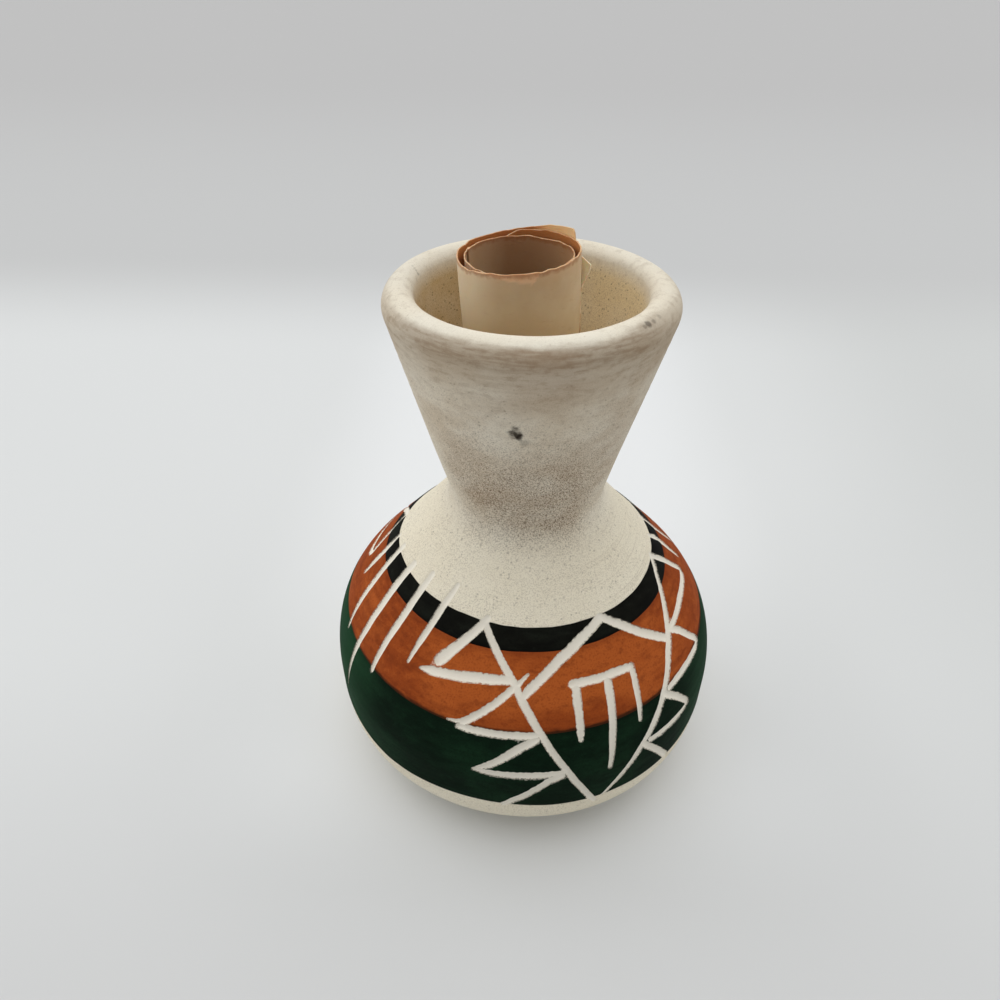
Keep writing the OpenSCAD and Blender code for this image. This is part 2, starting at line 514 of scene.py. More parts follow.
    def skin_r(self, z: np.ndarray) -> np.ndarray:
        """Radius of the outside at heights from the foot's curve to the shoulder.

        Args:
            z: Heights.

        Returns:
            Radii.
        """
        z = np.asarray(z, dtype=float)
        end = self.shoulder_c + self.shoulder_round * self.way(self.shoulder_a)
        drop = np.minimum(z - self.foot_z, 0)
        low = self.foot_c[0] + np.sqrt(np.maximum(self.foot_round**2 - drop**2, 0))
        rise = np.clip(z - self.shoulder_z, 0, self.shoulder_round)
        high = self.shoulder_c[0] + np.sqrt(self.shoulder_round**2 - rise**2)
        line = end[0] - (z - end[1]) * math.tan(self.shoulder_a)
        return np.where(z < self.foot_z, low, np.where(z < end[1], high, line))

    def skin_a(self, z: np.ndarray) -> np.ndarray:
        """Slope of the outside's normal at those heights, in radians.

        Args:
            z: Heights.

        Returns:
            Angles above the level.
        """
        z = np.asarray(z, dtype=float)
        low = np.arcsin(np.clip((z - self.foot_z) / self.foot_round, -1, 0))
        high = np.arcsin(np.clip((z - self.shoulder_z) / self.shoulder_round, 0, 1))
        return np.where(z < self.foot_z, low, np.minimum(high, self.shoulder_a))

    def on_skin(self, turn: np.ndarray, z: np.ndarray, out: np.ndarray) -> np.ndarray:
        """Places on the outside.

        Args:
            turn: Turns in degrees.
            z: Heights.
            out: Distances out from the skin, along its normal.

        Returns:
            Points, one row each.
        """
        a, slope = np.radians(turn), self.skin_a(z)
        radius = self.skin_r(z) + np.cos(slope) * out
        return np.column_stack([radius * np.sin(a), -radius * np.cos(a), z + np.sin(slope) * out])

    def skin_normal(self, turn: np.ndarray, z: np.ndarray) -> np.ndarray:
        """Normals of the outside at turns and heights, one row each."""
        a, slope = np.radians(turn), self.skin_a(z)
        return np.column_stack([np.cos(slope) * np.sin(a), -np.cos(slope) * np.cos(a), np.sin(slope)])

    def by_hand(self, points: np.ndarray) -> np.ndarray:
        """Give points on the vase the small unevenness of a thrown pot.

        Args:
            points: Points on any piece of the vase.

        Returns:
            The same points, moved in or out a little.
        """
        x, y, z = points.T
        a = np.arctan2(x, -y)
        radius = np.hypot(x, y)
        swell = 0.16 * np.sin(2 * a + 0.6) + 0.10 * np.sin(3 * a + 5.2 + z / 40)
        swell += 0.06 * np.sin(5 * a - z / 23)
        rings = 0.035 * np.sin(z * 2.05 + 0.6 * np.sin(a)) * (0.5 + 0.5 * np.sin(z / 9.0))
        rings *= smooth(84, 92, z) * (1 - smooth(126, 134, z))
        share = smooth(0.0, 12.0, radius) * smooth(0.0, 6.0, z)
        lip = smooth(127.0, 136.0, z) * smooth(-28.8, -26.0, -radius)
        heavy = 0.12 + 0.64 * smooth(0.70, 1.0, np.cos(a - 0.25)) + 0.3 * smooth(0.3, 1.0, -np.cos(a))
        back = smooth(-0.25, 0.75, -np.cos(a)) * smooth(36.0, 54.0, z) * (1 - smooth(68.0, 80.0, z))
        sides = smooth(0.5, 1.0, np.abs(np.sin(a))) * smooth(8.0, 24.0, z) * (1 - smooth(54.0, 68.0, z))
        out = (swell + rings) * share - lip * heavy - 0.9 * back - 0.22 * sides
        scale = 1 + out / np.maximum(radius, 1.0)
        neck_shift = -0.25 * smooth(84.0, 100.0, z)
        return np.column_stack([x * scale + neck_shift, y * scale, z])


# Scratched ornament


class Hand(Enum):
    """How a scratch was drawn."""

    BORDER = "border"
    BOLD = "bold"
    FAN = "fan"

    @property
    def bite(self) -> float:
        """How far the upper edge of the scratch crumbles."""
        return {Hand.BORDER: 0.07, Hand.BOLD: 0.15, Hand.FAN: 0.04}[self]


@dataclass(frozen=True)
class Scratch:
    """One stroke of the scratching tool, through marks given as (turn, height, width)."""

    path: tuple[Mark, ...]
    hand: Hand
    layer: int


@dataclass(frozen=True)
class Groove:
    """A scratch followed in small steps over the skin: one row or value for each step."""

    # A section has points along its bottom, which a larger power makes flatter, and two above the skin.
    BOTTOM_POINTS = 7
    BOTTOM_POWER = 2.4
    BESIDE = 0.35
    ABOVE = 0.8

    middle: np.ndarray
    normal: np.ndarray
    across: np.ndarray
    upper: np.ndarray
    lower: np.ndarray
    depth: np.ndarray

    def sections(self) -> np.ndarray:
        """Give the outline of the cut at each step: along its bottom and back above the skin.

        Returns:
            Points by step, place around the cut and axis.
        """
        u = np.linspace(-1.0, 1.0, self.BOTTOM_POINTS)
        sides = np.where(u > 0, np.outer(self.upper, u), np.outer(self.lower, u))
        down = np.outer(-self.depth, 1 - np.abs(u) ** self.BOTTOM_POWER)
        sides = np.column_stack([sides, self.upper + self.BESIDE, -self.lower - self.BESIDE])
        down = np.column_stack([down, np.full((len(down), 2), self.ABOVE)])
        return (
            self.middle[:, None]
            + sides[:, :, None] * self.across[:, None]
            + down[:, :, None] * self.normal[:, None]
        )


@dataclass
class Ornament:
    """Everything scratched through the slip: two medallions with a fan of lines before each."""

    # Layer of the fan's lines, and turn of the outermost line's upper end, front and back.
    FAN_LAYER = 8
    FAN_TOP = (-86.0, -90.0)

    form: VaseForm
    turns: tuple[float, ...] = (0.0, 180.0)
    depth: float = 0.40
    step: float = 0.28
    scratches: list[Scratch] = field(default_factory=list)

    def draw(self) -> None:
        """Lay out every scratch, first on the front and then half a turn round."""
        for turn in self.turns:
            self.borders(turn)
            self.left_teeth(turn)
            self.right_teeth(turn)
            self.roof_and_comb(turn)
            self.fan(turn)

    def add(self, turn: float, hand: Hand, layer: int, *path: Mark) -> None:
        """Keep one scratch, turned about the axis; scratches of one layer never cross."""
        self.scratches.append(Scratch(tuple((a + turn, z, w) for a, z, w in path), hand, layer))

    def borders(self, turn: float) -> None:
        """Scratch the two borders, which meet at the medallion's foot.

        Args:
            turn: Turn of the medallion, in degrees.
        """
        left = (
            (-15.2, 66.4, 1.7), (-10.6, 63.0, 1.9), (-6.0, 59.6, 2.0), (-1.6, 56.0, 2.1), (2.6, 51.0, 2.2),
            (6.0, 46.3, 2.0), (11.7, 37.4, 1.9), (14.9, 31.5, 1.9), (19.4, 22.9, 1.9), (21.6, 19.2, 1.5),
        )
        right = (
            (77.6, 66.2, 2.0), (70.5, 63.5, 2.0), (62.3, 58.7, 2.1), (55.7, 54.6, 2.4), (51.9, 52.4, 2.3),
            (45.5, 46.8, 2.2), (39.6, 41.0, 2.5), (34.2, 35.5, 2.5), (27.6, 26.8, 2.0), (22.9, 21.4, 1.0),
        )
        self.add(turn, Hand.BORDER, 0, *left)
        self.add(turn, Hand.BORDER, 1, *right)

    def left_teeth(self, turn: float) -> None:
        """Scratch the pointed teeth outside the left border.

        Args:
            turn: Turn of the medallion, in degrees.
        """
        bold = partial(self.add, turn, Hand.BOLD)
        way = ((-13.6, 67.6, 1.8), (-16.5, 65.3, 2.3), (-23.9, 60.3, 2.6), (-26.4, 58.3, 3.4))
        bold(2, *way, (-28.6, 56.3, 2.9))
        bold(3, (-33.4, 54.3, 0.7), (-29.0, 54.9, 2.5), (-13.8, 56.5, 2.8), (-2.2, 57.1, 2.5))
        bold(2, (2.6, 58.3, 0.7), (0.4, 57.0, 1.2), (-1.6, 56.0, 2.0), (-16.6, 46.8, 2.0))
        bold(3, (-17.6, 46.2, 1.4), (-13.7, 46.1, 2.2), (5.2, 46.2, 2.2))
        bold(4, (-20.6, 46.9, 0.5), (-17.9, 47.1, 1.1), (-15.4, 47.6, 1.4))
        bold(2, (5.4, 45.5, 1.8), (0.5, 43.4, 2.6), (-7.6, 37.5, 2.3), (-12.2, 35.0, 0.7))
        bold(3, (-12.2, 35.1, 0.7), (-7.5, 34.9, 2.2), (2.3, 34.8, 2.6), (12.4, 35.2, 2.4))
        bold(2, (12.2, 34.4, 2.2), (7.9, 32.6, 2.5), (1.5, 26.5, 2.4), (-4.4, 21.6, 1.9))

    def right_teeth(self, turn: float) -> None:
        """Scratch the blunt teeth outside the right border.

        Args:
            turn: Turn of the medallion, in degrees.
        """
        even, bold = partial(self.add, turn, Hand.BORDER), partial(self.add, turn, Hand.BOLD)
        even(5, (77.0, 66.8, 1.9), (83.1, 62.2, 2.0), (87.9, 56.8, 2.0), (88.7, 55.8, 1.9))
        even(6, (89.1, 56.2, 1.8), (86.5, 55.4, 2.2), (72.5, 56.0, 2.2), (57.8, 55.2, 1.9))
        bold(5, (57.8, 55.6, 2.1), (61.8, 53.3, 2.2), (67.4, 47.6, 2.0), (68.2, 46.3, 1.9))
        way = ((68.7, 46.8, 1.8), (66.2, 45.9, 2.2), (61.0, 46.1, 2.4), (56.0, 46.2, 2.4), (51.3, 46.1, 2.3))
        even(6, *way, (46.4, 45.8, 1.8))
        bold(5, (44.4, 45.9, 2.2), (49.6, 41.9, 2.2), (53.8, 37.4, 2.0), (54.6, 36.0, 1.8))
        way = ((55.1, 36.5, 1.7), (52.5, 35.7, 2.3), (48.3, 35.5, 2.5), (41.9, 35.6, 2.5))
        even(6, *way, (36.6, 35.8, 2.1))
        bold(5, (34.8, 36.2, 2.1), (39.7, 30.6, 2.2), (46.4, 21.2, 2.2))

    def roof_and_comb(self, turn: float) -> None:
        """Scratch the roof inside the medallion and the comb that hangs under it.

        Args:
            turn: Turn of the medallion, in degrees.
        """
        even, bold = partial(self.add, turn, Hand.BORDER), partial(self.add, turn, Hand.BOLD)
        bold(4, (0.0, 53.6, 1.9), (3.2, 55.8, 2.5), (13.0, 60.3, 2.7), (21.3, 63.0, 2.7), (33.8, 66.0, 2.5))
        bold(7, (32.4, 65.7, 2.0), (39.7, 62.6, 2.4), (51.4, 56.5, 2.5), (55.6, 54.4, 2.2))
        bold(4, (14.8, 55.8, 2.1), (20.2, 55.8, 2.2), (32.9, 55.5, 2.2), (37.6, 55.2, 2.0))
        bold(7, (17.0, 55.6, 2.2), (16.7, 52.4, 2.3), (16.6, 46.4, 2.0), (16.4, 43.6, 1.3))
        even(7, (27.5, 55.2, 2.4), (26.8, 51.3, 2.4), (25.5, 42.8, 2.1), (24.5, 32.8, 1.3))
        even(7, (36.6, 55.0, 1.9), (35.7, 51.0, 1.8), (35.2, 46.7, 1.6), (34.5, 43.2, 1.1))

    def fan(self, turn: float) -> None:
        """Scratch the fan of lines that runs down from the bare shoulder.

        Args:
            turn: Turn of the medallion, in degrees.
        """
        line = partial(self.add, turn, Hand.FAN, self.FAN_LAYER)
        top = self.FAN_TOP[self.turns.index(turn)]
        line((top, 67.0, 1.3), (-85.0, 63.4, 2.4), (-84.2, 59.9, 2.5), (-83.0, 54.6, 1.5))
        line((-76.1, 68.2, 2.2), (-74.9, 61.4, 2.4), (-71.6, 52.2, 2.0), (-69.6, 45.2, 1.1))
        way = ((-61.2, 69.0, 2.3), (-61.6, 62.1, 2.7), (-60.0, 52.0, 2.4), (-60.6, 39.4, 1.5))
        line(*way, (-61.6, 30.6, 0.7))
        line((-47.7, 70.4, 1.9), (-48.5, 65.5, 2.4), (-49.1, 57.3, 2.4), (-49.6, 45.7, 1.5))
        line((-31.9, 71.2, 1.5), (-34.4, 66.8, 2.1), (-37.1, 58.6, 1.9), (-38.0, 53.7, 0.9))

    def trace(self, scratch: Scratch, seed: int) -> Groove:
        """Follow a scratch in small steps.

        Args:
            scratch: The scratch to follow.
            seed: Seed of its unevenness.

        Returns:
            The groove that it leaves.
        """
        way = np.array(scratch.path)
        corners = self.form.on_skin(way[:, 0], way[:, 1], np.zeros(len(way)))
        along = np.concatenate([[0.0], np.cumsum(np.linalg.norm(np.diff(corners, axis=0), axis=1))])
        length = along[-1]
        s = np.linspace(0.0, length, max(6, math.ceil(length / self.step)))
        turn, z, width = (self.eased(np.interp(s, along, way[:, i])) for i in range(3))
        middle = self.form.on_skin(turn, z, np.zeros(len(s)))
        normal = self.form.skin_normal(turn, z)
        across = np.cross(normal, np.gradient(middle, axis=0))
        across *= np.sign(across[:, 2:3].mean()) / np.linalg.norm(across, axis=1, keepdims=True)
        sway_by, sway_step, width_by, width_step, crumb_step = 0.05, 4.0, 0.04, 3.0, 0.5
        blunt, least_end, full_half, least_depth = 0.9, 0.12, 0.9, 0.68
        sway = sway_by * Drift(seed + 1, sway_step).at(s)
        half = width / 2 * (1 + width_by * Drift(seed + 2, width_step).at(s))
        end = np.clip(np.minimum(s, length - s) / (blunt * half), 0.0, 1.0)
        half = half * np.sqrt(np.clip(1 - (1 - end) ** 2, least_end, 1.0))
        bite = scratch.hand.bite * np.clip(half, 0.0, 1.0)
        upper = half + bite * Drift(seed, crumb_step).at(s)
        lower = half + 0.5 * bite * Drift(seed + 3, crumb_step).at(s)
        depth = self.depth * np.clip(half / full_half, least_depth, 1.0)
        return Groove(middle + across * sway[:, None], normal, across, upper, lower, depth)

    @staticmethod
    def eased(values: np.ndarray) -> np.ndarray:
        """Round the corners of a row of values a little.

        Args:
            values: Values along a scratch.

        Returns:
            The eased values.
        """
        soft = 3
        if len(values) <= 2 * soft + 2:
            return values
        weights = np.hanning(2 * soft + 3)[1:-1]
        before = 2 * values[0] - values[soft:0:-1]
        after = 2 * values[-1] - values[-2 : -soft - 2 : -1]
        return np.convolve(np.concatenate([before, values, after]), weights / weights.sum(), "valid")

    def grooves(self) -> list[Groove]:
        """Follow every scratch, each with seeds of its own."""
        first_seed, seed_step = 5, 17
        return [self.trace(scratch, first_seed + seed_step * i) for i, scratch in enumerate(self.scratches)]

    def cutters(self) -> list[bpy.types.Object]:
        """Make the shapes that the tool takes away, in layers whose scratches don't cross.

        Returns:
            One closed object for each layer.
        """
        result, grooves = [], self.grooves()
        for layer in sorted({scratch.layer for scratch in self.scratches}):
            points, faces = [], []
            for scratch, groove in zip(self.scratches, grooves):
                if scratch.layer == layer:
                    self.sweep(groove, points, faces)
            mesh = bpy.data.meshes.new(f"cutter_{layer}")
            mesh.from_pydata([MM * point for point in points], [], faces)
            cutter = bpy.data.objects.new(mesh.name, mesh)
            bpy.context.collection.objects.link(cutter)
            Bench.face_out(cutter)
            Bench.place(cutter, self.form.by_hand(Bench.points(cutter)))
            result.append(cutter)
        return result

    @staticmethod
    def sweep(groove: Groove, points: list[np.ndarray], faces: list[tuple[int, ...]]) -> None:
        """Add the closed shape that a groove takes away to lists of points and faces.

        Args:
            groove: The groove.
            points: Points so far.
            faces: Faces so far.
        """
        sections = groove.sections()
        first, (steps, around, _) = len(points), sections.shape
        points.extend(sections.reshape(-1, 3))
        rows = first + np.arange(steps * around).reshape(steps, around)
        for row, following in zip(rows[:-1], rows[1:]):
            ahead = zip(row, np.roll(row, -1), np.roll(following, -1), following)
            faces.extend(tuple(int(corner) for corner in face) for face in ahead)
        faces.append(tuple(int(corner) for corner in rows[0][::-1]))
        faces.append(tuple(int(corner) for corner in rows[-1]))

    def samples(self) -> tuple[np.ndarray, np.ndarray]:
        """Give points along the middle of all scratches and half their width there.

        Returns:
            Points, one row each, and half widths.
        """
        grooves = self.grooves()
        middles = np.vstack([groove.middle for groove in grooves])
        halves = np.concatenate([(groove.upper + groove.lower) / 2 for groove in grooves])
        return self.form.by_hand(middles), halves


# Shader maths


class Value:
    """A shader socket that can be used in Python expressions."""

    def __init__(self, paint: Paint, socket: bpy.types.NodeSocket) -> None:
        """Wrap an output socket of a material."""
        self.paint = paint
        self.socket = socket

    def _math(self, operation: str, first: Value | Number, second: Value | Number) -> Value:
        """Add one Math node."""
        return self.paint.node("ShaderNodeMath", {"operation": operation}, {0: first, 1: second})

    def __add__(self, other: Value | Number) -> Value:
        """Add."""
        return self._math("ADD", self, other)

    __radd__ = __add__

    def __sub__(self, other: Value | Number) -> Value:
        """Take away."""
        return self._math("SUBTRACT", self, other)

    def __rsub__(self, other: Number) -> Value:
        """Take this from a number."""
        return self._math("SUBTRACT", other, self)

    def __mul__(self, other: Value | Number) -> Value:
        """Multiply."""
        return self._math("MULTIPLY", self, other)

    __rmul__ = __mul__

    def __truediv__(self, other: Value | Number) -> Value:
        """Divide."""
        return self._math("DIVIDE", self, other)

    def __rtruediv__(self, other: Number) -> Value:
        """Divide a number by this."""
        return self._math("DIVIDE", other, self)

    def __pow__(self, other: Value | Number) -> Value:
        """Raise to a power."""
        return self._math("POWER", self, other)

    def __rpow__(self, other: Number) -> Value:
        """Raise a number to this power."""
        return self._math("POWER", other, self)

    def smallest(self, other: Value | Number) -> Value:
        """Take the smaller of two."""
        return self._math("MINIMUM", self, other)

    def rise(self, low: float, high: float) -> Value:
        """Go softly from 0 at low to 1 at high, or the other way where low is the larger."""
        settings = {"interpolation_type": "SMOOTHSTEP"}
        return self.paint.node("ShaderNodeMapRange", settings, {0: self, 1: low, 2: high, 3: 0.0, 4: 1.0})


class Paint:
    """A procedural material being made, on the piece's own coordinates in millimetres."""

    # Added under the root, so that a distance from the axis is never 0.
    OFF_AXIS = 0.01

    def __init__(self, name: str) -> None:
        """Start a material of that name with one shader.

        Args:
            name: Name of the material.
        """
        self.material = bpy.data.materials.new(name)
        self.material.use_nodes = True
        self.tree = self.material.node_tree
        self.shader = next(n for n in self.tree.nodes if n.type == "BSDF_PRINCIPLED")
        coordinate = self.node("ShaderNodeTexCoord", {}, {}, "Object")
        self.place = self.vector("SCALE", coordinate, 1 / MM)
        parts = [self.node("ShaderNodeSeparateXYZ", {}, {0: self.place}, axis) for axis in "XYZ"]
        self.x, self.y, self.z = parts

    def link(self, value: Any, socket: bpy.types.NodeSocket) -> None:
        """Feed a socket from a value, or set it to a number or colour.

        Args:
            value: Value, number or colour.
            socket: Socket to feed.
        """
        if isinstance(value, Value):
            self.tree.links.new(value.socket, socket)
        else:
            socket.default_value = value

    def node(self, kind: str, settings: dict[str, Any], inputs: dict[Any, Any], output: Any = 0) -> Value:
        """Add any node.

        Args:
            kind: The node's type.
            settings: Its settings, set first.
            inputs: Values or links of its sockets, by name or number.
            output: The output to return, by name or number.

        Returns:
            That output.
        """
        node = self.tree.nodes.new(kind)
        for name, value in settings.items():
            setattr(node, name, value)
        for name, value in inputs.items():
            self.link(value, node.inputs[name])
        return Value(self, node.outputs[output])

    def vector(self, operation: str, first: Any, second: Any) -> Value:
        """Work on vectors; SCALE takes a number as its second."""
        place = "Scale" if operation == "SCALE" else 1
        return self.node("ShaderNodeVectorMath", {"operation": operation}, {0: first, place: second})

    def mix(self, share: Value | Number, first: Any, second: Any) -> Value:
        """Mix two colours."""
        return self.node("ShaderNodeMix", {"data_type": "RGBA"}, {0: share, 6: first, 7: second}, 2)

    def radius(self) -> Value:
        """Distance from the axis."""
        return (self.x * self.x + self.y * self.y + self.OFF_AXIS) ** 0.5

    def facing(self) -> Value:
        """How far a place lies to the back: -1 at the front of the vase, 1 behind."""
        return self.y / self.radius()

    def cloud(self, where: Value, detail: float) -> Value:
        """Add a noise texture, read at a vector."""
        inputs = {"Vector": where, "Scale": 1.0, "Detail": detail, "Roughness": 0.55}
        return self.node("ShaderNodeTexNoise", {}, inputs)

    def noise(
        self, size: float, detail: float = 2.0, stretch: Sequence[float] = (1, 1, 1), move: float = 0.0
    ) -> Value:
        """Soft noise.

        Args:
            size: Size of its features, in millimetres.
            detail: How much finer noise is added.
            stretch: How much longer the features are along each axis.
            move: Shift, so that two noises differ.

        Returns:
            Values around 0.5.
        """
        scale = tuple(1 / (size * s) for s in stretch)
        where = self.vector("MULTIPLY", self.place, scale)
        return self.cloud(self.vector("ADD", where, (move, move * 0.7, move * 1.3)), detail)

    def rings(self, size: float, length: float, detail: float = 3.0, move: float = 0.0) -> Value:
        """Noise drawn out around the axis, as brushing or wiping on a wheel leaves it.

        Args:
            size: Height of its streaks, in millimetres.
            length: Length of its streaks, as a share of the radius.
            detail: How much finer noise is added.
            move: Shift, so that two noises differ.

        Returns:
            Values around 0.5.
        """
        radius = self.radius()
        parts = {0: self.x / radius / length + move, 1: self.y / radius / length, 2: self.z / size + move}
        return self.cloud(self.node("ShaderNodeCombineXYZ", {}, parts), detail)

    def spots(self, size: float, move: float = 0.0) -> Value:
        """Distance from scattered dots, about a size apart.

        Args:
            size: Distance between dots, in millimetres.
            move: Shift, so that two patterns differ.

        Returns:
            Distances, as shares of the size.
        """
        where = self.vector("SCALE", self.place, 1 / size)
        where = self.vector("ADD", where, (move, move, move))
        return self.node("ShaderNodeTexVoronoi", {}, {"Vector": where, "Scale": 1.0}, "Distance")

    def near(self, centre: Sequence[float]) -> Value:
        """Distance from a place, in millimetres."""
        settings = {"operation": "DISTANCE"}
        return self.node("ShaderNodeVectorMath", settings, {0: self.place, 1: tuple(centre)}, "Value")

    def mark(self, name: str) -> Value:
        """Read a number kept for each vertex."""
        return self.node("ShaderNodeAttribute", {"attribute_name": name}, {}, "Fac")

    def bump(self, height: Value, depth: float) -> Value:
        """Turn heights into a normal; a full step is as deep as given, in millimetres."""
        return self.node("ShaderNodeBump", {}, {"Height": height, "Distance": depth * MM, "Strength": 1.0})

    def dress(
        self, piece: bpy.types.Object, colour: Any, roughness: Any, normal: Value | None, specular: float
    ) -> None:
        """Join up the shader and put the material on a piece.

        Args:
            piece: The piece to dress.
            colour: Base colour.
            roughness: Roughness.
            normal: Normal, or None.
            specular: How strongly the surface mirrors.
        """
        self.link(colour, self.shader.inputs["Base Color"])
        self.link(roughness, self.shader.inputs["Roughness"])
        self.link(specular, self.shader.inputs["Specular IOR Level"])
        if normal is not None:
            self.link(normal, self.shader.inputs["Normal"])
        piece.data.materials.clear()
        piece.data.materials.append(self.material)


# Pieces


@dataclass(frozen=True)
class ClayFinish:
    """Colours and surface of the bare, unglazed clay, some also used as painted light and shade."""

    cream: Colour = linear(238, 232, 216)
    warm: Colour = linear(232, 221, 199)
    # The inside's clay, darker as painted shade on its left; the next colour is painted light on its right.
    inside: Colour = linear(210, 186, 142)
    inside_painted_light: Colour = linear(238, 220, 180)
    speck: Colour = linear(98, 78, 56)
    # Grime, also used as painted shade under the lip and on the front of the neck.
    grime_and_shade: Colour = linear(130, 102, 72)
    tan: Colour = linear(206, 176, 136)
    fresh: Colour = linear(242, 236, 222)
    # Painted light: paler clay on the up-facing shoulder.
    pale: Colour = linear(248, 239, 214)
    # Rust, also used as painted shade on the front of the waist.
    rust_and_shade: Colour = linear(152, 116, 78)
    soot: Colour = linear(44, 37, 30)
    specular: float = 0.10
    relief: float = 0.12


class ClayPaint(Paint):
    """The bare clay's material: streaks, grime, specks and painted light and shade, each kept to its own
    region.
    """

    # Place, size and darkness of each mark that handling left: one on the neck, two on the lip.
    SMUDGES = (
        ((-2.4, -28.2, 117.0), 1.9, 0.95),
        ((-3.7, -28.2, 117.4), 1.0, 0.50),
        ((-2.6, -28.5, 118.8), 1.3, 0.75),
        ((-1.6, -28.0, 116.2), 1.3, 0.80),
        ((-0.6, -27.7, 114.6), 1.6, 0.30),
        ((22.2, -21.4, 137.9), 0.8, 0.35),
        ((23.0, -20.4, 138.0), 1.1, 0.60),
        ((24.2, -19.0, 138.0), 0.9, 0.40),
        ((25.6, -16.8, 138.1), 0.8, 0.20),
        ((-27.1, 7.4, 138.4), 0.5, 0.20),
        ((-26.6, 6.8, 138.2), 0.5, 0.25),
        ((-26.2, 6.3, 137.8), 0.5, 0.30),
        ((-25.7, 5.9, 137.1), 0.6, 0.35),
    )
    WORN_PLACE = (3.0, -31.0, 132.5)

    def __init__(self, finish: ClayFinish) -> None:
        """Set up the regions and the textures that several marks share.

        Args:
            finish: Colours of the clay.
        """
        super().__init__("cream_clay")
        self.finish = finish
        self.inside, self.outside = self.mark("inside"), self.mark("outer_face")
        self.scratched = self.mark("scratched")
        self.front = self.y.rise(0.0, -17.0)
        self.right = self.x.rise(4.0, 24.0)
        self.left = self.x.rise(-20.0, -29.0)
        self.neck = self.z.rise(76.0, 92.0) * self.outside
        self.lip = self.z.rise(132.0, 136.0)
        self.rubbed = self.z.rise(137.0, 112.0)
        # The front of the hollow between neck and shoulder, where painted shade falls and the specks are
        # denser.
        hollow = self.z.rise(76.5, 87.0) * self.z.rise(118.0, 95.0) * self.outside
        self.waist = hollow * (0.08 + 0.92 * self.facing().rise(-0.45, -0.95))
        self.grain = self.noise(0.28, 2.0, move=5.0)
        self.crumbs = self.noise(0.6, 3.0, move=6.0)
        self.patch = self.noise(9.0, 3.0, move=3.1).rise(0.38, 0.64)
        self.mottle = self.noise(1.5, 4.0, (1.6, 1.6, 0.8), move=31.0).rise(0.46, 0.70)
        self.wipe = self.rings(0.8, 0.30, 4.0, move=2.0).rise(0.44, 0.74)
        ragged = (self.noise(6.0, 2.0, (1, 1, 0.4), move=21.0) - 0.5) * 1.2 + (self.wipe - 0.4) * 0.4
        sag = 0.9 * self.x.rise(16.0, 23.0) * self.front
        self.below_lip = (self.z + ragged - sag).rise(138.1, 136.8) * self.outside
        self.under_lip = self.z.rise(117.0, 134.0) * self.below_lip

    def clay(self) -> Value:
        """Mix the cream of the outside and the darker clay of the inside, with painted shade on the inside's
        left and painted light on its right.

        Returns:
            The colour.
        """
        finish = self.finish
        colour = self.mix(self.noise(24.0, 3.0).rise(0.35, 0.68) * 0.5, finish.cream, finish.warm)
        stain = self.noise(12.0, 3.0, move=17.0).rise(0.40, 0.66)
        # Painted shade on the inside's left, painted light on its right.
        lining = self.mix(self.x.rise(-20.0, 20.0), finish.inside, finish.inside_painted_light)
        return self.mix(self.inside, colour, self.mix(stain * 0.3, lining, finish.warm))

    def soil_neck(self, colour: Value) -> Value:
        """Add tan blotches and the grime of handling to the neck, with painted shade that makes it heavier
        at the front.

        Args:
            colour: The colour so far.

        Returns:
            The colour with the grime.
        """
        blotch = self.noise(11.0, 4.0, (1.4, 1.4, 0.7), move=11.0).rise(0.36, 0.68)
        tan = self.neck * self.z.rise(138.2, 135.0) * (0.09 + 0.20 * blotch)
        colour = self.mix(tan, colour, self.finish.tan)
        # Grime with painted shade, heavier at the front; more grime on the right.
        dirt_and_shade = (0.03 + 0.14 * blotch) * (0.35 + 0.65 * self.front)
        dirt_and_shade = dirt_and_shade + 0.18 * self.right * self.z.rise(88.0, 104.0) + 0.10 * self.mottle * self.front
        return self.mix(self.neck * self.z.rise(138.2, 134.0) * dirt_and_shade, colour, self.finish.grime_and_shade)

    def soil_lip(self, colour: Value) -> Value:
        """Add the streaks wiped under the lip with painted shade under its front, a band of grime and
        painted shade where its front turns down, its worn place, and flecks and smears on it.

        Args:
            colour: The colour so far.

        Returns:
            The colour with the grime.
        """
        grime_and_shade, left = self.finish.grime_and_shade, self.left
        # Wiped streaks under the lip, with painted shade heavier at the front.
        streaks_and_shade = self.under_lip * (0.28 + 0.16 * self.wipe + 0.14 * self.mottle)
        colour = self.mix(streaks_and_shade * (0.5 + 0.5 * self.front), colour, grime_and_shade)
        dashes = self.rings(0.55, 0.16, 4.0, move=5.0).rise(0.42, 0.66)
        # Grime and painted shade along the front of the lip's outer round, where it turns down.
        edge = self.z.rise(132.0, 135.8) * self.below_lip * self.facing().rise(-0.35, -0.85)
        colour = self.mix(edge * (0.28 + 0.26 * dashes), colour, grime_and_shade)
        worn = self.near(self.WORN_PLACE).rise(11.5, 4.0) * self.below_lip
        colour = self.mix(worn * 0.22, colour, self.finish.rust_and_shade)
        flecks = self.noise(0.5, 3.0, move=41.0).rise(0.58, 0.72) * self.lip * (1 - self.inside)
        colour = self.mix(flecks * (0.16 + 0.16 * left), colour, grime_and_shade)
        smear = self.noise(2.2, 4.0, move=12.0).rise(0.46, 0.72) * self.lip
        colour = self.mix(smear * (0.10 + 0.10 * self.right + 0.14 * left), colour, grime_and_shade)
        return self.mix(self.lip * (1 - self.front) * (0.05 + 0.04 * left), colour, grime_and_shade)

    def shade_light_and_grain(self, colour: Value) -> Value:
        """Paint shade in rust brown on the front of the waist's hollow, paint light on the up-facing
        shoulder as paler clay, and strew grain over the clay.

        Args:
            colour: The colour so far.

        Returns:
            The colour with the grain.
        """
        finish = self.finish
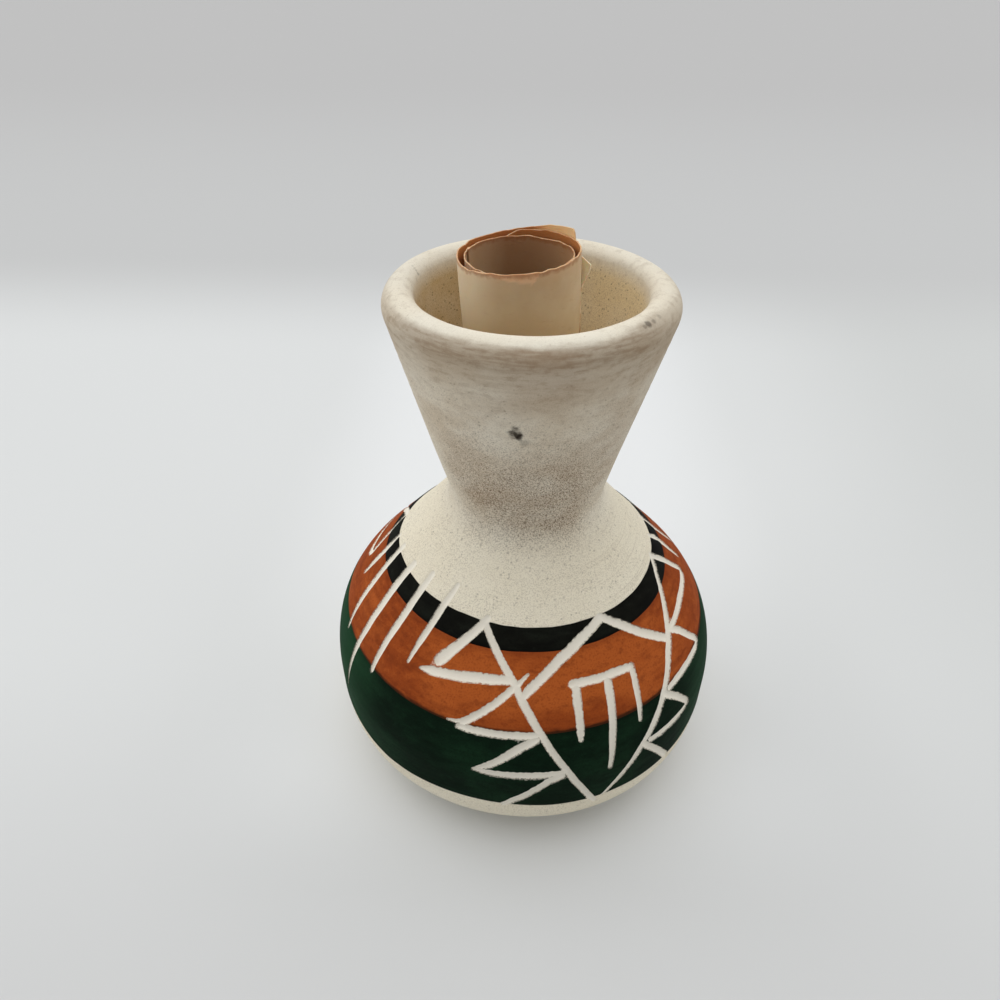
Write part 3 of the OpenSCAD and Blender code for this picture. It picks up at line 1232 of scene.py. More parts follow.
        # Painted shade in rust brown on the front of the waist's hollow.
        colour = self.mix(self.waist * (0.16 + 0.20 * self.patch), colour, finish.rust_and_shade)
        # Painted light: the up-facing shoulder paler.
        colour = self.mix(self.z.rise(86.0, 74.0) * self.outside * 0.6, colour, finish.pale)
        sandy = (0.21 + 0.10 * self.patch + 0.58 * self.waist) * (0.25 + 0.75 * self.rubbed)
        dark = self.grain.rise(0.46, 0.64)
        colour = self.mix(dark * sandy * (1 - self.inside), colour, finish.speck)
        colour = self.mix(dark * self.inside * 0.32, colour, finish.rust_and_shade)
        light = self.grain.rise(0.46, 0.30) * 0.42 * self.outside * self.z.rise(116.0, 100.0)
        return self.mix(light, colour, finish.fresh)

    def speckle(self, colour: Value) -> Value:
        """Add dark pits, larger dots and the fine lines that turning left on the shoulder.

        Args:
            colour: The colour so far.

        Returns:
            The colour with the specks.
        """
        inside, outside = self.inside, self.outside
        where = (self.noise(3.0, 2.0, move=8.0) + 0.1 * inside).rise(0.46, 0.60)
        where = where * (self.z.rise(138.0, 122.0) + inside).smallest(1.0)
        pits = self.spots(1.1).rise(0.26, 0.10) * where * (0.42 + 0.18 * inside + 0.26 * self.waist)
        colour = self.mix(pits, colour, self.finish.speck)
        dots = self.spots(2.3, move=3.0).rise(0.20, 0.07) * (0.26 * outside * self.rubbed + 0.30 * inside)
        colour = self.mix(dots, colour, self.finish.speck)
        turned = self.rings(0.45, 1.1, 2.0, move=14.0).rise(0.48, 0.75) * self.z.rise(82.0, 74.0)
        return self.mix(turned * (0.05 + 0.12 * self.right) * outside, colour, self.finish.grime_and_shade)

    def smudge(self, colour: Value) -> Value:
        """Add the few dark marks that handling left on the neck and lip.

        Args:
            colour: The colour so far.

        Returns:
            The colour with the marks.
        """
        rough = self.noise(1.1, 3.0, move=4.0) * 2.0 - 1.0
        for centre, size, amount in self.SMUDGES:
            spot = (self.near(centre) + rough * size * 0.55).rise(size, size * 0.30)
            colour = self.mix(spot * amount, colour, self.finish.soot)
        return colour

    def open_scratches(self, colour: Value) -> Value:
        """Show fresh, crumbly clay where the ornament is scratched."""
        fresh = self.mix(self.crumbs.rise(0.52, 0.74) * 0.22, self.finish.fresh, self.finish.warm)
        return self.mix(self.scratched, colour, fresh)

    def relief(self) -> Value:
        """Height of the fine relief: grain, wiped streaks, crumbs and the rings of turning.

        Returns:
            The heights.
        """
        height = self.noise(0.34, 3.0, move=1.0) * 0.55 + self.grain * 0.6 * self.z.rise(134.0, 118.0)
        height = height + self.noise(2.6, 2.0) * 0.25 + self.wipe * self.under_lip * 0.15
        height = height + self.crumbs * self.scratched * 0.5
        return height + self.rings(0.6, 1.2, 2.0, move=14.0) * 0.35


@dataclass
class ClayBody:
    """The thrown vessel of cream clay."""

    form: VaseForm
    finish: ClayFinish = ClayFinish()
    steps: int = 240
    crease: float = 40.0
    # Where the clay counts as scratched: its heights, its greatest depth and where fresh clay begins.
    belt: Point = (16.0, 74.0)
    deepest: float = 2.5
    fresh_depth: Point = (0.03, 0.14)
    # Heights between which the inside gives way to the lip.
    lip_turn: Point = (133.8, 136.8)

    def build(self, cutters: Sequence[bpy.types.Object]) -> bpy.types.Object:
        """Throw the body and scratch the ornament into it.

        Args:
            cutters: What the scratching tool takes away.

        Returns:
            The body.
        """
        body = Bench.revolve("clay_vessel", self.form.outline(), self.steps, closed=False)
        Bench.place(body, self.form.by_hand(Bench.points(body)))
        Bench.carve(body, cutters)
        self.mark_regions(body)
        Bench.finish(body, self.crease)
        self.dress(body)
        return body

    def mark_regions(self, body: bpy.types.Object) -> None:
        """Keep for each point whether it is scratched and on which side of the wall it lies.

        Args:
            body: The carved body.
        """
        points = Bench.points(body)
        z, radius = points[:, 2], np.hypot(points[:, 0], points[:, 1])
        skin = self.form.by_hand(self.form.on_skin(Bench.turns(points), z, np.zeros(len(z))))
        depth = (np.hypot(skin[:, 0], skin[:, 1]) - radius) * np.cos(self.form.skin_a(z))
        cut = (z > self.belt[0]) & (z < self.belt[1]) & (depth < self.deepest)
        Bench.mark(body, "scratched", np.where(cut, smooth(*self.fresh_depth, depth), 0.0))
        middle = self.wall_middle(z)
        below_lip = 1 - smooth(*self.lip_turn, z)
        Bench.mark(body, "inside", smooth(0.0, 1.0, middle - radius + 0.5) * below_lip)
        Bench.mark(body, "outer_face", smooth(-0.6, 0.6, radius - middle))

    def wall_middle(self, z: np.ndarray) -> np.ndarray:
        """Radius of the middle of the wall at each height, or -1 in the floor.

        Args:
            z: Heights.

        Returns:
            Radii.
        """
        outline = np.array(self.form.outline())
        top = int(np.argmax(outline[:, 1]))
        outer, inner = outline[: top + 1], outline[top:][::-1]
        outer_r = np.interp(z, outer[:, 1], outer[:, 0])
        inner_r = np.interp(z, inner[:, 1], inner[:, 0], left=-1.0)
        return np.where(z < self.form.floor - 0.5, -1.0, (outer_r + inner_r) / 2)

    def dress(self, body: bpy.types.Object) -> None:
        """Give the body its clay: specks, wiped streaks, grime, painted light and shade, and paler clay in
        the scratches.

        Args:
            body: The carved body.
        """
        paint = ClayPaint(self.finish)
        soiled_and_shaded = paint.shade_light_and_grain(paint.soil_lip(paint.soil_neck(paint.clay())))
        colour = paint.open_scratches(paint.smudge(paint.speckle(soiled_and_shaded)))
        roughness = 0.88 + 0.08 * paint.grain - 0.06 * paint.z.rise(134.0, 138.0)
        normal = paint.bump(paint.relief(), self.finish.relief)
        paint.dress(body, colour, roughness, normal, self.finish.specular)


@dataclass(frozen=True)
class SlipFinish:
    """Colours and surface of one coat of slip."""

    name: str
    coat: float
    seed: int
    main: Colour
    light: Colour
    dark: Colour
    roughness: float
    specular: float
    streak: float
    fleck: float
    over: Colour | None = None
    # Paler green painted as sheen at the sides, or None.
    painted_side_sheen: Colour | None = None
    # Strength of painted light on the coat's lower front and painted shade on its left.
    lift: float = 0.0
    relief: float = 0.06


@dataclass(frozen=True)
class BrushedEdge:
    """An edge of a coat: its height, how far the brush strayed at some turns, and its seed."""

    # Steps in degrees, their number and the amount of the brush's long and short wavering.
    LONG_STEP = 14.0
    LONG_COUNT = 26
    LONG_BY = 0.09
    SHORT_STEP = 4.0
    SHORT_COUNT = 90
    SHORT_BY = 0.06

    height: float
    strays: tuple[Point, ...]
    seed: int

    def at(self, turn: np.ndarray) -> np.ndarray:
        """How far the edge lies above or below its height at each turn.

        Args:
            turn: Turns in degrees.

        Returns:
            Distances, upwards along the skin.
        """
        around = turn % 360.0
        long = Drift(self.seed, self.LONG_STEP, self.LONG_COUNT * self.LONG_STEP).at(around)
        short = Drift(self.seed + 1, self.SHORT_STEP, self.SHORT_COUNT * self.SHORT_STEP).at(around)
        return course(self.strays, turn, 360.0) + self.LONG_BY * long + self.SHORT_BY * short


@dataclass
class SlipBand:
    """One coat of slip around the body, between two brushed edges."""

    form: VaseForm
    node: str
    slot: str
    low_edge: BrushedEdge
    high_edge: BrushedEdge
    finish: SlipFinish
    steps: int = 400
    under_skin: float = 0.14
    crease: float = 40.0

    @property
    def low(self) -> float:
        """Height of the lower edge."""
        return self.low_edge.height

    @property
    def high(self) -> float:
        """Height of the upper edge."""
        return self.high_edge.height

    def outline(self) -> list[Point]:
        """Closed outline of the coat: up its outside, with thinned edges, and down just under the skin.

        Returns:
            Points as (radius, height).
        """
        rise, rim, thin_rim, thin_edge = 0.8, 0.25, 0.35, 0.5
        count = max(4, math.ceil((self.high - self.low) / rise))
        z = np.linspace(self.low, self.high, count + 1)
        z = np.sort(np.concatenate([z, [self.low + rim, self.high - rim]]))
        edge = np.minimum(z - self.low, self.high - z)
        out = self.finish.coat * (thin_rim + (1 - thin_rim) * smooth(0.0, thin_edge, edge))
        outer = self.form.on_skin(np.zeros(len(z)), z, out)
        inner = self.form.on_skin(np.zeros(len(z)), z, np.full(len(z), -self.under_skin))
        return [(-p[1], p[2]) for p in np.vstack([outer, inner[::-1]])]

    def build(self, cutters: Sequence[bpy.types.Object]) -> bpy.types.Object:
        """Brush the coat and scratch the ornament through it.

        Args:
            cutters: What the scratching tool takes away.

        Returns:
            The coat.
        """
        band = Bench.revolve(self.node + "_coat", self.outline(), self.steps, closed=True)
        points = Bench.points(band)
        z = points[:, 2]
        turn = Bench.turns(points)
        share = np.clip((z - self.low) / (self.high - self.low), 0.0, 1.0)
        move = self.low_edge.at(turn) * (1 - share) ** 2 + self.high_edge.at(turn) * share**2
        slope = self.form.skin_a(z)
        radius = np.hypot(points[:, 0], points[:, 1])
        scale = (radius - np.sin(slope) * move) / radius
        points = np.column_stack([points[:, 0] * scale, points[:, 1] * scale, z + np.cos(slope) * move])
        Bench.place(band, self.form.by_hand(points))
        Bench.carve(band, cutters)
        return band

    def mark_distance(self, band: bpy.types.Object, middles: np.ndarray, halves: np.ndarray) -> None:
        """Keep for each point of the coat how far it lies from the nearest scratch.

        Args:
            band: The coat.
            middles: Points along the middle of the scratches.
            halves: Half their width there.
        """
        looked_at, farthest = 6, 4.0
        tree = kdtree.KDTree(len(middles))
        for i, middle in enumerate(middles):
            tree.insert(Vector(middle), i)
        tree.balance()
        distance = []
        for point in Bench.points(band):
            found = tree.find_n(Vector(point), looked_at)
            distance.append(min(gap - halves[i] for _, i, gap in found))
        Bench.mark(band, "to_scratch", np.clip(distance, 0.0, farthest))

    def dress(self, band: bpy.types.Object) -> None:
        """Give the coat its colour, brush marks, the painted light, shade and sheen that its finish sets,
        and the dust of its scratched edges.

        Args:
            band: The coat.
        """
        Bench.finish(band, self.crease)
        paint, finish, low, high = Paint(self.finish.name), self.finish, self.low, self.high
        brush = paint.rings(1.6, 0.28, 4.0, move=finish.seed * 1.7)
        cloud = paint.noise(12.0, 4.0, (1.6, 1.6, 1.0), move=finish.seed * 2.3)
        blot = paint.noise(3.2, 4.0, (1.5, 1.5, 0.8), move=finish.seed * 3.1)
        fleck = paint.noise(1.7, 5.0, (1.5, 1.5, 0.8), move=finish.seed * 4.3)
        grain = paint.noise(0.45, 3.0, move=finish.seed)
        facing = paint.facing()
        # Painted light lifting the lower front of the coat, and painted shade on its left.
        lift = finish.lift * paint.z.rise(low + 1.5, low + 6.0) * facing.rise(-0.70, -0.92)
        lift = lift - 0.6 * finish.lift * paint.x.rise(-16.0, -30.0) * facing.rise(-0.30, -0.60)
        colour = paint.mix((cloud + lift).rise(0.42, 0.66) * 0.9, finish.main, finish.light)
        colour = paint.mix((brush - lift).rise(0.46, 0.70) * finish.streak, colour, finish.dark)
        colour = paint.mix((blot - lift).rise(0.52, 0.74) * finish.streak * 0.75, colour, finish.dark)
        colour = paint.mix(fleck.rise(0.50, 0.72) * finish.fleck, colour, finish.dark)
        colour = paint.mix(fleck.rise(0.47, 0.32) * finish.fleck, colour, finish.light)
        colour = paint.mix(grain.rise(0.48, 0.70) * 0.40, colour, finish.dark)
        feathered = paint.z + (paint.rings(0.9, 0.10, 3.0, move=9.0) * 1.6 - 0.8)
        rims = feathered.rise(high - 1.4, high) + feathered.rise(low + 1.8, low)
        colour = paint.mix(rims * 0.38, colour, finish.dark)
        if finish.over is not None:
            colour = paint.mix(feathered.rise(low + 1.1, low + 0.1) * 0.8, colour, finish.over)
        if finish.painted_side_sheen is not None:
            # Painted sheen: the green paler towards its left and right sides.
            painted_side_sheen = (paint.x.rise(-34.0, -52.0) + paint.x.rise(40.0, 54.0) * 0.7) * (0.6 + 0.4 * cloud)
            colour = paint.mix(painted_side_sheen * 0.7, colour, finish.painted_side_sheen)
        dust = (paint.mark("to_scratch") + paint.noise(0.45, 2.0, move=7.0) * 0.4).rise(0.30, 0.06)
        colour = paint.mix(dust * 0.6, colour, ClayFinish().fresh)
        roughness = finish.roughness + 0.22 * (brush - 0.5) + 0.12 * (grain - 0.5)
        height = grain * 0.5 + brush * 0.6 + paint.noise(0.35, 2.0) * 0.3
        paint.dress(band, colour, roughness, paint.bump(height, finish.relief), finish.specular)


def slip_bands(form: VaseForm) -> tuple[SlipBand, ...]:
    """Set up the three coats, from the shoulder down; neighbours share a brushed edge.

    Args:
        form: The vase's form.

    Returns:
        The coats of black, terracotta and green slip.
    """
    black_dark, green_dark = linear(11, 11, 9), linear(9, 20, 12)
    black = SlipFinish(
        name="black_slip",
        coat=0.20,
        seed=1,
        main=linear(18, 18, 14),
        light=linear(28, 31, 25),
        dark=black_dark,
        roughness=0.75,
        specular=0.04,
        streak=0.5,
        fleck=0.5,
        over=black_dark,
    )
    green = SlipFinish(
        name="green_slip",
        coat=0.20,
        seed=3,
        main=linear(12, 30, 18),
        light=linear(21, 47, 29),
        dark=green_dark,
        roughness=0.7,
        specular=0.03,
        streak=0.25,
        fleck=0.35,
        # Painted sheen at the sides.
        painted_side_sheen=linear(36, 80, 50),
    )
    terracotta = SlipFinish(
        name="terracotta_slip",
        coat=0.17,
        seed=2,
        main=linear(154, 72, 29),
        light=linear(180, 92, 40),
        dark=linear(112, 47, 21),
        roughness=0.75,
        specular=0.05,
        streak=0.42,
        fleck=0.42,
        over=green_dark,
        # Painted light on the lower front, painted shade on the left.
        lift=0.13,
    )
    foot_strays = ((-60, -0.25), (-40, -0.65), (-20, 0.15), (-5, 0.3), (10, -0.2), (180, 0.1))
    green_strays = ((-70, 0.3), (-45, 0.0), (0, -0.2), (40, -0.3), (60, -0.8), (80, -0.4), (180, 0.1))
    red_strays = ((-60, 0.2), (0, 0.3), (30, 0.2), (60, -0.2), (180, 0.1))
    black_strays = ((-95, 0.3), (-65, 0.85), (-25, 0.8), (0, 0.25), (40, 0.1), (90, 0.2), (180, 0.3))
    foot = BrushedEdge(22.3, foot_strays, 107)
    green_top = BrushedEdge(46.8, green_strays, 105)
    red_top = BrushedEdge(61.8, red_strays, 103)
    black_top = BrushedEdge(66.0, black_strays, 101)
    return (
        SlipBand(form, "black_slip_band", "black_slip", red_top, black_top, black),
        SlipBand(form, "terracotta_slip_band", "terracotta_slip", green_top, red_top, terracotta),
        SlipBand(form, "green_slip_band", "green_slip", foot, green_top, green),
    )


@dataclass(frozen=True)
class PaperFinish:
    """Colours and surface of the aged paper, some also used as painted light and shade."""

    sheet: Colour = linear(210, 186, 150)
    pale: Colour = linear(218, 198, 164)
    brown: Colour = linear(156, 92, 46)
    fibre: Colour = linear(178, 132, 94)
    raw: Colour = linear(230, 190, 150)
    # Darker paper brown used as painted shade inside the roll.
    inner: Colour = linear(150, 97, 50)
    # Painted light on the roll's sides.
    painted_light_pale: Colour = linear(240, 224, 194)
    amber: Colour = linear(190, 118, 58)
    # Painted glow on the flap, as if lit through the paper.
    flap_painted_glow: Colour = linear(255, 216, 158)
    # Painted light on the ear.
    clean: Colour = linear(255, 246, 226)
    specular: float = 0.1
    relief: float = 0.08
    glow: float = 0.4
    glow_depth: float = 0.6
    glow_reach: tuple[float, float, float] = (1.0, 0.55, 0.28)


@dataclass
class Leaflet:
    """The rolled sheet of paper that stands in the neck."""

    form: VaseForm
    finish: PaperFinish = PaperFinish()
    length: float = 139.0
    thickness: float = 0.28
    turns: float = 2.45
    pitch: float = 0.85
    gap: float = 0.6
    seat_gap: float = 0.3
    lean: float = 2.7
    edge_turn: float = 8.0
    around: int = 360
    up: int = 80
    crease: float = 50.0
    # Heights between which the roll comes loose, and how its outer corner stands off as an ear.
    loosens: Point = (100.0, 134.0)
    ear_angle: float = 14.0
    ear_power: float = 1.2
    ear_out: float = 2.1
    ear_rise: Point = (128.5, 134.8)
    # Length along the winding for each degree, as the paint counts it from the outer end.
    per_degree: float = 0.23
    # The torn upper edge, as (angle along the roll, height above the sheet's length).
    upper_edge: tuple[Point, ...] = (
        (0, -4.3), (6, -3.6), (13, -2.5), (18, -1.2), (20, 2.2), (26, 2.1), (36, 1.75), (44, 1.6),
        (55, 1.3), (66, 0.9), (84, 0.3), (110, 0.0), (180, 0.0), (200, -0.5), (235, -0.5), (262, -0.2),
        (290, 0.0), (330, 0.1), (420, 0.4), (436, 0.5), (446, 0.2), (456, -0.7), (466, -1.6), (482, -1.7),
        (494, -0.8), (506, -0.2), (530, -0.2), (560, -0.5), (590, -0.95), (640, -0.95), (690, -0.5),
        (720, -0.7), (745, -1.0), (775, -0.8), (805, -0.3), (882, -0.1),
    )
    # Radius of the loose upper end, as (angle along the roll, radius).
    loose_end: tuple[Point, ...] = (
        (0, 13.35), (40, 13.6), (88, 13.85), (178, 13.35), (268, 13.1), (330, 13.05), (360, 12.95),
        (397, 13.0), (425, 13.15), (446, 13.1), (466, 12.5), (484, 11.9), (505, 11.8), (545, 11.75),
        (628, 12.6), (718, 11.5), (760, 11.3), (846, 11.35), (882, 11.35),
    )
    # Foot of the place where the paper's face came away, as (degrees from the front, depth).
    bare_ply: tuple[Point, ...] = ((-30, 0.0), (-26, 0.5), (14, 2.3), (20, 0.0))

    @property
    def radius(self) -> float:
        """Outer radius of the roll, from the neck's narrowest place."""
        return float(self.form.waist_c[0]) - self.form.waist_fillet - self.form.wall - self.gap

    @property
    def flat(self) -> tuple[float, float]:
        """Width along the winding and height of the sheet before it was rolled, in metres."""
        middle = self.radius - self.thickness / 2 - self.pitch * self.turns / 2
        return 2 * math.pi * middle * self.turns * MM, self.length * MM

    def build(self) -> bpy.types.Object:
        """Roll the sheet.

        Returns:
            The rolled leaflet.
        """
        Bench.clear()
        bpy.ops.mesh.primitive_grid_add(x_subdivisions=self.around, y_subdivisions=self.up, size=1.0)
        sheet = bpy.context.object
        sheet.name = "paper_roll"
        sheet.data.name = "paper_roll"
        denser_up = 1.7
        flat = Bench.points(sheet) * MM + 0.5
        u, v = flat[:, 0], 1 - (1 - np.clip(flat[:, 1], 0, 1)) ** denser_up
        angle = u * self.turns * 360.0
        below = (1 - v) * self.top(angle)
        Bench.mark(sheet, "to_top", below)
        Bench.mark(sheet, "to_end", angle * self.per_degree)
        Bench.mark(sheet, "torn_ply", self.torn_ply(angle, below))
        Bench.place(sheet, self.rolled(angle, v))
        Bench.take(sheet)
        wall = sheet.modifiers.new("paper", "SOLIDIFY")
        wall.thickness = self.thickness * MM
        wall.offset = 0.0
        bpy.ops.object.modifier_apply(modifier=wall.name)
        Bench.mark(sheet, "inner_face", self.inner_face(sheet))
        Bench.finish(sheet, self.crease)
        self.dress(sheet)
        return sheet

    def top(self, angle: np.ndarray) -> np.ndarray:
        """Length of the sheet at each angle along the roll, with its torn and worn upper edge.

        Args:
            angle: Angles along the roll, in degrees.

        Returns:
            Lengths.
        """
        long_seed, short_seed, degrees = 31, 32, 6
        along = angle / degrees
        worn = 0.18 * Drift(long_seed, 5.0).at(along) + 0.17 * Drift(short_seed, 1.1).at(along)
        return self.length + course(self.upper_edge, angle) + worn

    def torn_ply(self, angle: np.ndarray, below: np.ndarray) -> np.ndarray:
        """Mark the place at the front where the paper's face has come away along the edge.

        Args:
            angle: Angles along the roll, in degrees.
            below: Distances below the upper edge.

        Returns:
            1 where the face has come away, 0 elsewhere.
        """
        from_front = angle + self.edge_turn + 90.0 - 360.0
        foot = course(self.bare_ply, from_front)
        return smooth(-0.15, 0.15, foot - below) * (foot > 0.05)

    def rolled(self, angle: np.ndarray, v: np.ndarray) -> np.ndarray:
        """Places of the sheet's points once it is rolled.

        Args:
            angle: Angle along the roll from the sheet's outer edge, in degrees.
            v: Share of the way up the roll.

        Returns:
            Points, one row each.
        """
        a = np.radians(self.edge_turn + angle)
        height = v * self.top(angle)
        tight = self.radius - self.thickness / 2 - self.pitch * angle / 360.0
        loose = self.loose(angle)
        ear = np.clip(1 - angle / self.ear_angle, 0.0, 1.0) ** self.ear_power
        radius = tight + (loose - tight) * smooth(*self.loosens, height)
        radius = radius + ear * self.ear_out * smooth(*self.ear_rise, height)
        lean = math.radians(self.lean)
        seat = self.form.floor + self.seat_gap + self.radius * math.sin(lean)
        pivot = float(self.form.waist_c[1])
        x, y = radius * np.cos(a), radius * np.sin(a)
        z = height - (pivot - seat) / math.cos(lean)
        sideways = x * math.cos(lean) - z * math.sin(lean)
        upwards = x * math.sin(lean) + z * math.cos(lean) + pivot
        return np.column_stack([sideways, y, upwards])

    def loose(self, angle: np.ndarray) -> np.ndarray:
        """Radius of the loose upper end at each angle along the roll, without corners.

        Args:
            angle: Angles along the roll, in degrees.

        Returns:
            Radii.
        """
        first, last, width = -40.0, 900.0, 31
        every = np.arange(first, last)
        window = np.hanning(width) / np.hanning(width).sum()
        return np.interp(angle, every, np.convolve(course(self.loose_end, every), window, "same"))

    def inner_face(self, sheet: bpy.types.Object) -> np.ndarray:
        """Tell for each point of the roll whether it lies on a face that looks inwards.

        Args:
            sheet: The rolled leaflet.

        Returns:
            1 on such a face, 0 elsewhere.
        """
        points = Bench.points(sheet)
        normals = np.array([vertex.normal[:] for vertex in sheet.data.vertices])
        axis = (float(self.form.waist_c[1]) - points[:, 2]) * math.tan(math.radians(self.lean))
        facing = normals[:, 0] * (points[:, 0] - axis) + normals[:, 1] * points[:, 1]
        to_end = np.empty(len(points), dtype=np.float32)
        sheet.data.attributes["to_end"].data.foreach_get("value", to_end)
        last = to_end > self.turns * 360.0 * self.per_degree - 0.05
        return ((facing < 0) | last).astype(float)

    def dress(self, sheet: bpy.types.Object) -> None:
        """Give the paper its age: fibres, stains and browned edges; and painted shade inside the roll and
        painted light on its sides, flap and ear.

        Args:
            sheet: The rolled leaflet.
        """
        paint, finish = Paint("aged_paper"), self.finish
        to_top, to_end = paint.mark("to_top"), paint.mark("to_end")
        inner, torn = paint.mark("inner_face"), paint.mark("torn_ply")
        face = 1 - inner
        ear = to_end.rise(4.4, 2.4) * to_top.rise(18.0, 10.0)
        flap = to_end.rise(17.0, 12.0) * to_top.rise(2.8, 1.6) * (1 - ear)
        outer = to_end.rise(118.0, 110.0)
        cloud = paint.noise(9.0, 3.0).rise(0.35, 0.68)
        colour = paint.mix(cloud * 0.7, finish.sheet, finish.pale)
        fibre = paint.noise(0.5, 3.0, (5.0, 5.0, 1.0), move=2.0).rise(0.56, 0.74)
        colour = paint.mix(fibre * 0.14, colour, finish.fibre)
        tan = (to_top + (paint.noise(5.0, 2.0, move=4.0) - 0.5) * 8.0).rise(11.0, 0.5)
        colour = paint.mix(tan * 0.32, colour, finish.fibre)
        # Painted shade inside the roll, in a darker paper brown, lighter towards the left.
        inside_shade = inner * (1 - outer) * (0.62 - 0.26 * paint.x.rise(-5.0, -10.5))
        colour = paint.mix(inside_shade, colour, finish.inner)
        amber = paint.mix(to_top.rise(0.8, 3.0), finish.amber, finish.brown)
        colour = paint.mix(inner * outer * (1 - ear) * 0.9, colour, amber)
        # Painted light: the roll's outer face paler on its left and, lower down, on its right.
        colour = paint.mix(face * paint.x.rise(-5.0, -13.0) * 0.5, colour, finish.painted_light_pale)
        painted_light_right = face * to_top.rise(14.0, 34.0) * paint.x.rise(-8.0, 6.0)
        colour = paint.mix(painted_light_right * 0.35, colour, finish.painted_light_pale)
        # Painted light: the flap's inner face glows as if lit through the paper.
        colour = paint.mix(flap * inner * 0.9, colour, finish.flap_painted_glow)
        colour = paint.mix(torn * face * 0.75, colour, finish.raw)
        browned = (to_top + (paint.noise(1.1, 3.0, move=6.0) - 0.5) * 1.8).rise(1.3, 0.2)
        browned = browned * 0.55 * (1 - 0.8 * flap) * (1 - outer * inner)
        colour = paint.mix(browned, colour, finish.brown)
        # Painted light: the standing ear brightened as if lit through the paper.
        colour = paint.mix(ear * 0.95, colour, finish.clean)
        rim = to_top.smallest(to_end * 3.0)
        frayed = paint.noise(1.6, 3.0, move=8.0).rise(0.40, 0.62)
        colour = paint.mix(rim.rise(0.22, 0.08) * (0.25 + 0.55 * frayed), colour, finish.raw)
        height = fibre * 0.4 + paint.noise(3.0, 2.0, move=1.0) * 0.6 - torn * 0.9
        paint.shader.inputs["Subsurface Weight"].default_value = finish.glow
        paint.shader.inputs["Subsurface Radius"].default_value = finish.glow_reach
        paint.shader.inputs["Subsurface Scale"].default_value = finish.glow_depth * MM
        normal = paint.bump(height, finish.relief)
        paint.dress(sheet, colour, 0.84 + 0.1 * (fibre - 0.5), normal, finish.specular)


# Studio


@dataclass(frozen=True)
class FloorFinish:
    """Greys and surface of the studio's floor, with a painted pool of light and painted shade."""

    middle: Colour = linear(220, 222, 222)
    before: Colour = linear(206, 207, 207)
    pool: Colour = linear(233, 235, 236)
    right: Colour = linear(204, 206, 205)
    behind: Colour = linear(198, 199, 199)
    far: Colour = linear(191, 191, 191)
    roughness: float = 0.95


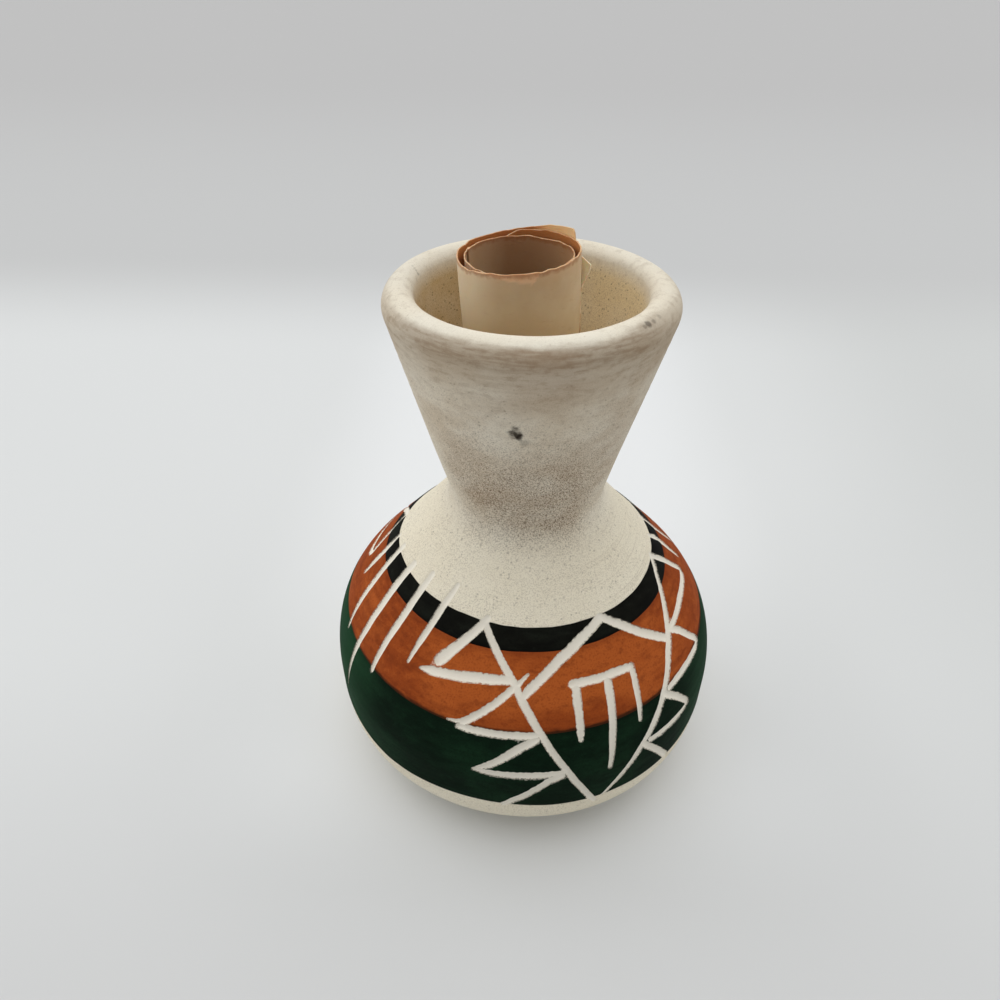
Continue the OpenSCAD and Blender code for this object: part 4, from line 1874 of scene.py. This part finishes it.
@dataclass(frozen=True)
class Studio:
    """A pale floor with painted light and shade, soft light and the photograph's camera."""

    camera_place: tuple[float, float, float] = (0.0, -157.76, 199.91)
    forward: tuple[float, float, float] = (-0.03460, 0.78997, -0.61216)
    right: tuple[float, float, float] = (0.99901, 0.04441, 0.00084)
    focal_px: float = 745.7
    image_px: float = 1000.0
    sensor: float = 36.0
    nearest: float = 10.0
    floor_size: float = 12000.0
    floor_finish: FloorFinish = FloorFinish()
    sky: float = 0.29

    def build(self) -> None:
        """Set up floor, light and camera."""
        self.floor()
        self.light()
        self.camera()

    def floor(self) -> None:
        """Lay a wide, pale floor with a painted pool of light beside and behind the vase, and painted shade
        that greys it in front, on the right, a little behind the vase and far away.
        """
        Bench.clear()
        bpy.ops.mesh.primitive_plane_add(size=self.floor_size * MM, location=(0, 0, 0))
        floor = bpy.context.object
        floor.name = "studio_floor"
        paint, finish = Paint("pale_floor"), self.floor_finish
        beside = (paint.x * paint.x) ** 0.5
        # A painted pool of light beside and behind the vase, and painted shade that greys the floor towards
        # the front.
        pool = beside.rise(112.0, 50.0) * paint.y.rise(-70.0, -25.0)
        colour = paint.mix(paint.y.rise(20.0, -130.0), finish.middle, finish.before)
        colour = paint.mix(pool * 0.75, colour, finish.pool)
        # Painted shade: greyer on the right, behind the vase and far away.
        colour = paint.mix(paint.x.rise(80.0, 240.0) * 0.8, colour, finish.right)
        colour = paint.mix(paint.y.rise(235.0, 395.0), colour, finish.behind)
        colour = paint.mix(paint.y.rise(400.0, 1200.0), colour, finish.far)
        paint.dress(floor, colour, finish.roughness, None, 0.0)

    def light(self) -> None:
        """Give broad soft light: most from above, less from left and right, a little from behind."""
        world = bpy.data.worlds.new("soft_room")
        world.use_nodes = True
        room = world.node_tree.nodes["Background"]
        room.inputs["Color"].default_value = (1.0, 1.0, 1.0, 1.0)
        room.inputs["Strength"].default_value = self.sky
        bpy.context.scene.world = world
        self.sun("ceiling", (0.05, -0.14, -1.0), 68.0, 1.32)
        self.sun("left_window", (1.0, -0.10, -0.50), 80.0, 1.12)
        self.sun("right_window", (-1.0, -0.10, -0.50), 80.0, 0.78)
        self.sun("back_window", (0.05, -1.0, -0.75), 80.0, 0.22)

    def sun(self, name: str, way: tuple[float, float, float], angle: float, strength: float) -> None:
        """Add soft light that falls the same way everywhere.

        Args:
            name: Name of the light.
            way: Direction in which the light falls.
            angle: How wide its source looks, in degrees.
            strength: Its strength.
        """
        data = bpy.data.lights.new(name, "SUN")
        data.energy = strength
        data.angle = math.radians(angle)
        light = bpy.data.objects.new(name, data)
        bpy.context.collection.objects.link(light)
        light.rotation_euler = Vector(way).to_track_quat("-Z", "Y").to_euler()

    def camera(self) -> None:
        """Stand the camera where the photograph was taken."""
        data = bpy.data.cameras.new("photo_camera")
        data.sensor_width = self.sensor
        data.lens = self.focal_px / self.image_px * data.sensor_width
        data.clip_start = self.nearest * MM
        camera = bpy.data.objects.new("photo_camera", data)
        bpy.context.collection.objects.link(camera)
        forward, right = Vector(self.forward).normalized(), Vector(self.right).normalized()
        up = right.cross(forward).normalized()
        right = forward.cross(up)
        turn = Matrix((right, up, -forward)).transposed().to_4x4()
        camera.matrix_world = Matrix.Translation(Vector(self.camera_place) * MM) @ turn
        bpy.context.scene.camera = camera


def main() -> None:
    """Build the vase and its leaflet, dress them and set up the studio."""
    logging.basicConfig(level=logging.INFO, format="%(message)s")
    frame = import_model()
    log.info("frame with nodes %s", ", ".join(sorted(frame["nodes"])))
    bpy.context.scene.view_settings.view_transform = "Standard"
    Studio().build()

    form = VaseForm()
    ornament = Ornament(form)
    ornament.draw()
    cutters = ornament.cutters()
    log.info("%d scratches in %d layers", len(ornament.scratches), len(cutters))

    body = ClayBody(form).build(cutters)
    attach(body, "vase")
    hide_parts("clay_body")
    log.info("%s: %d faces", body.name, len(body.data.polygons))

    middles, halves = ornament.samples()
    for band in slip_bands(form):
        coat = band.build(cutters)
        band.mark_distance(coat, middles, halves)
        band.dress(coat)
        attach(coat, "vase")
        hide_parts(band.node)
        log.info("%s: %d faces", coat.name, len(coat.data.polygons))

    leaflet = Leaflet(form)
    sheet = leaflet.build()
    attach(sheet, "leaflet")
    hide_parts("rolled_leaflet")
    leaflet.flat
    log.info("%s: %d faces", sheet.name, len(sheet.data.polygons))

    for cutter in cutters:
        bpy.data.objects.remove(cutter, do_unlink=True)
    Bench.clear()
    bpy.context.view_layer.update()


if __name__ == "__main__":
    main()
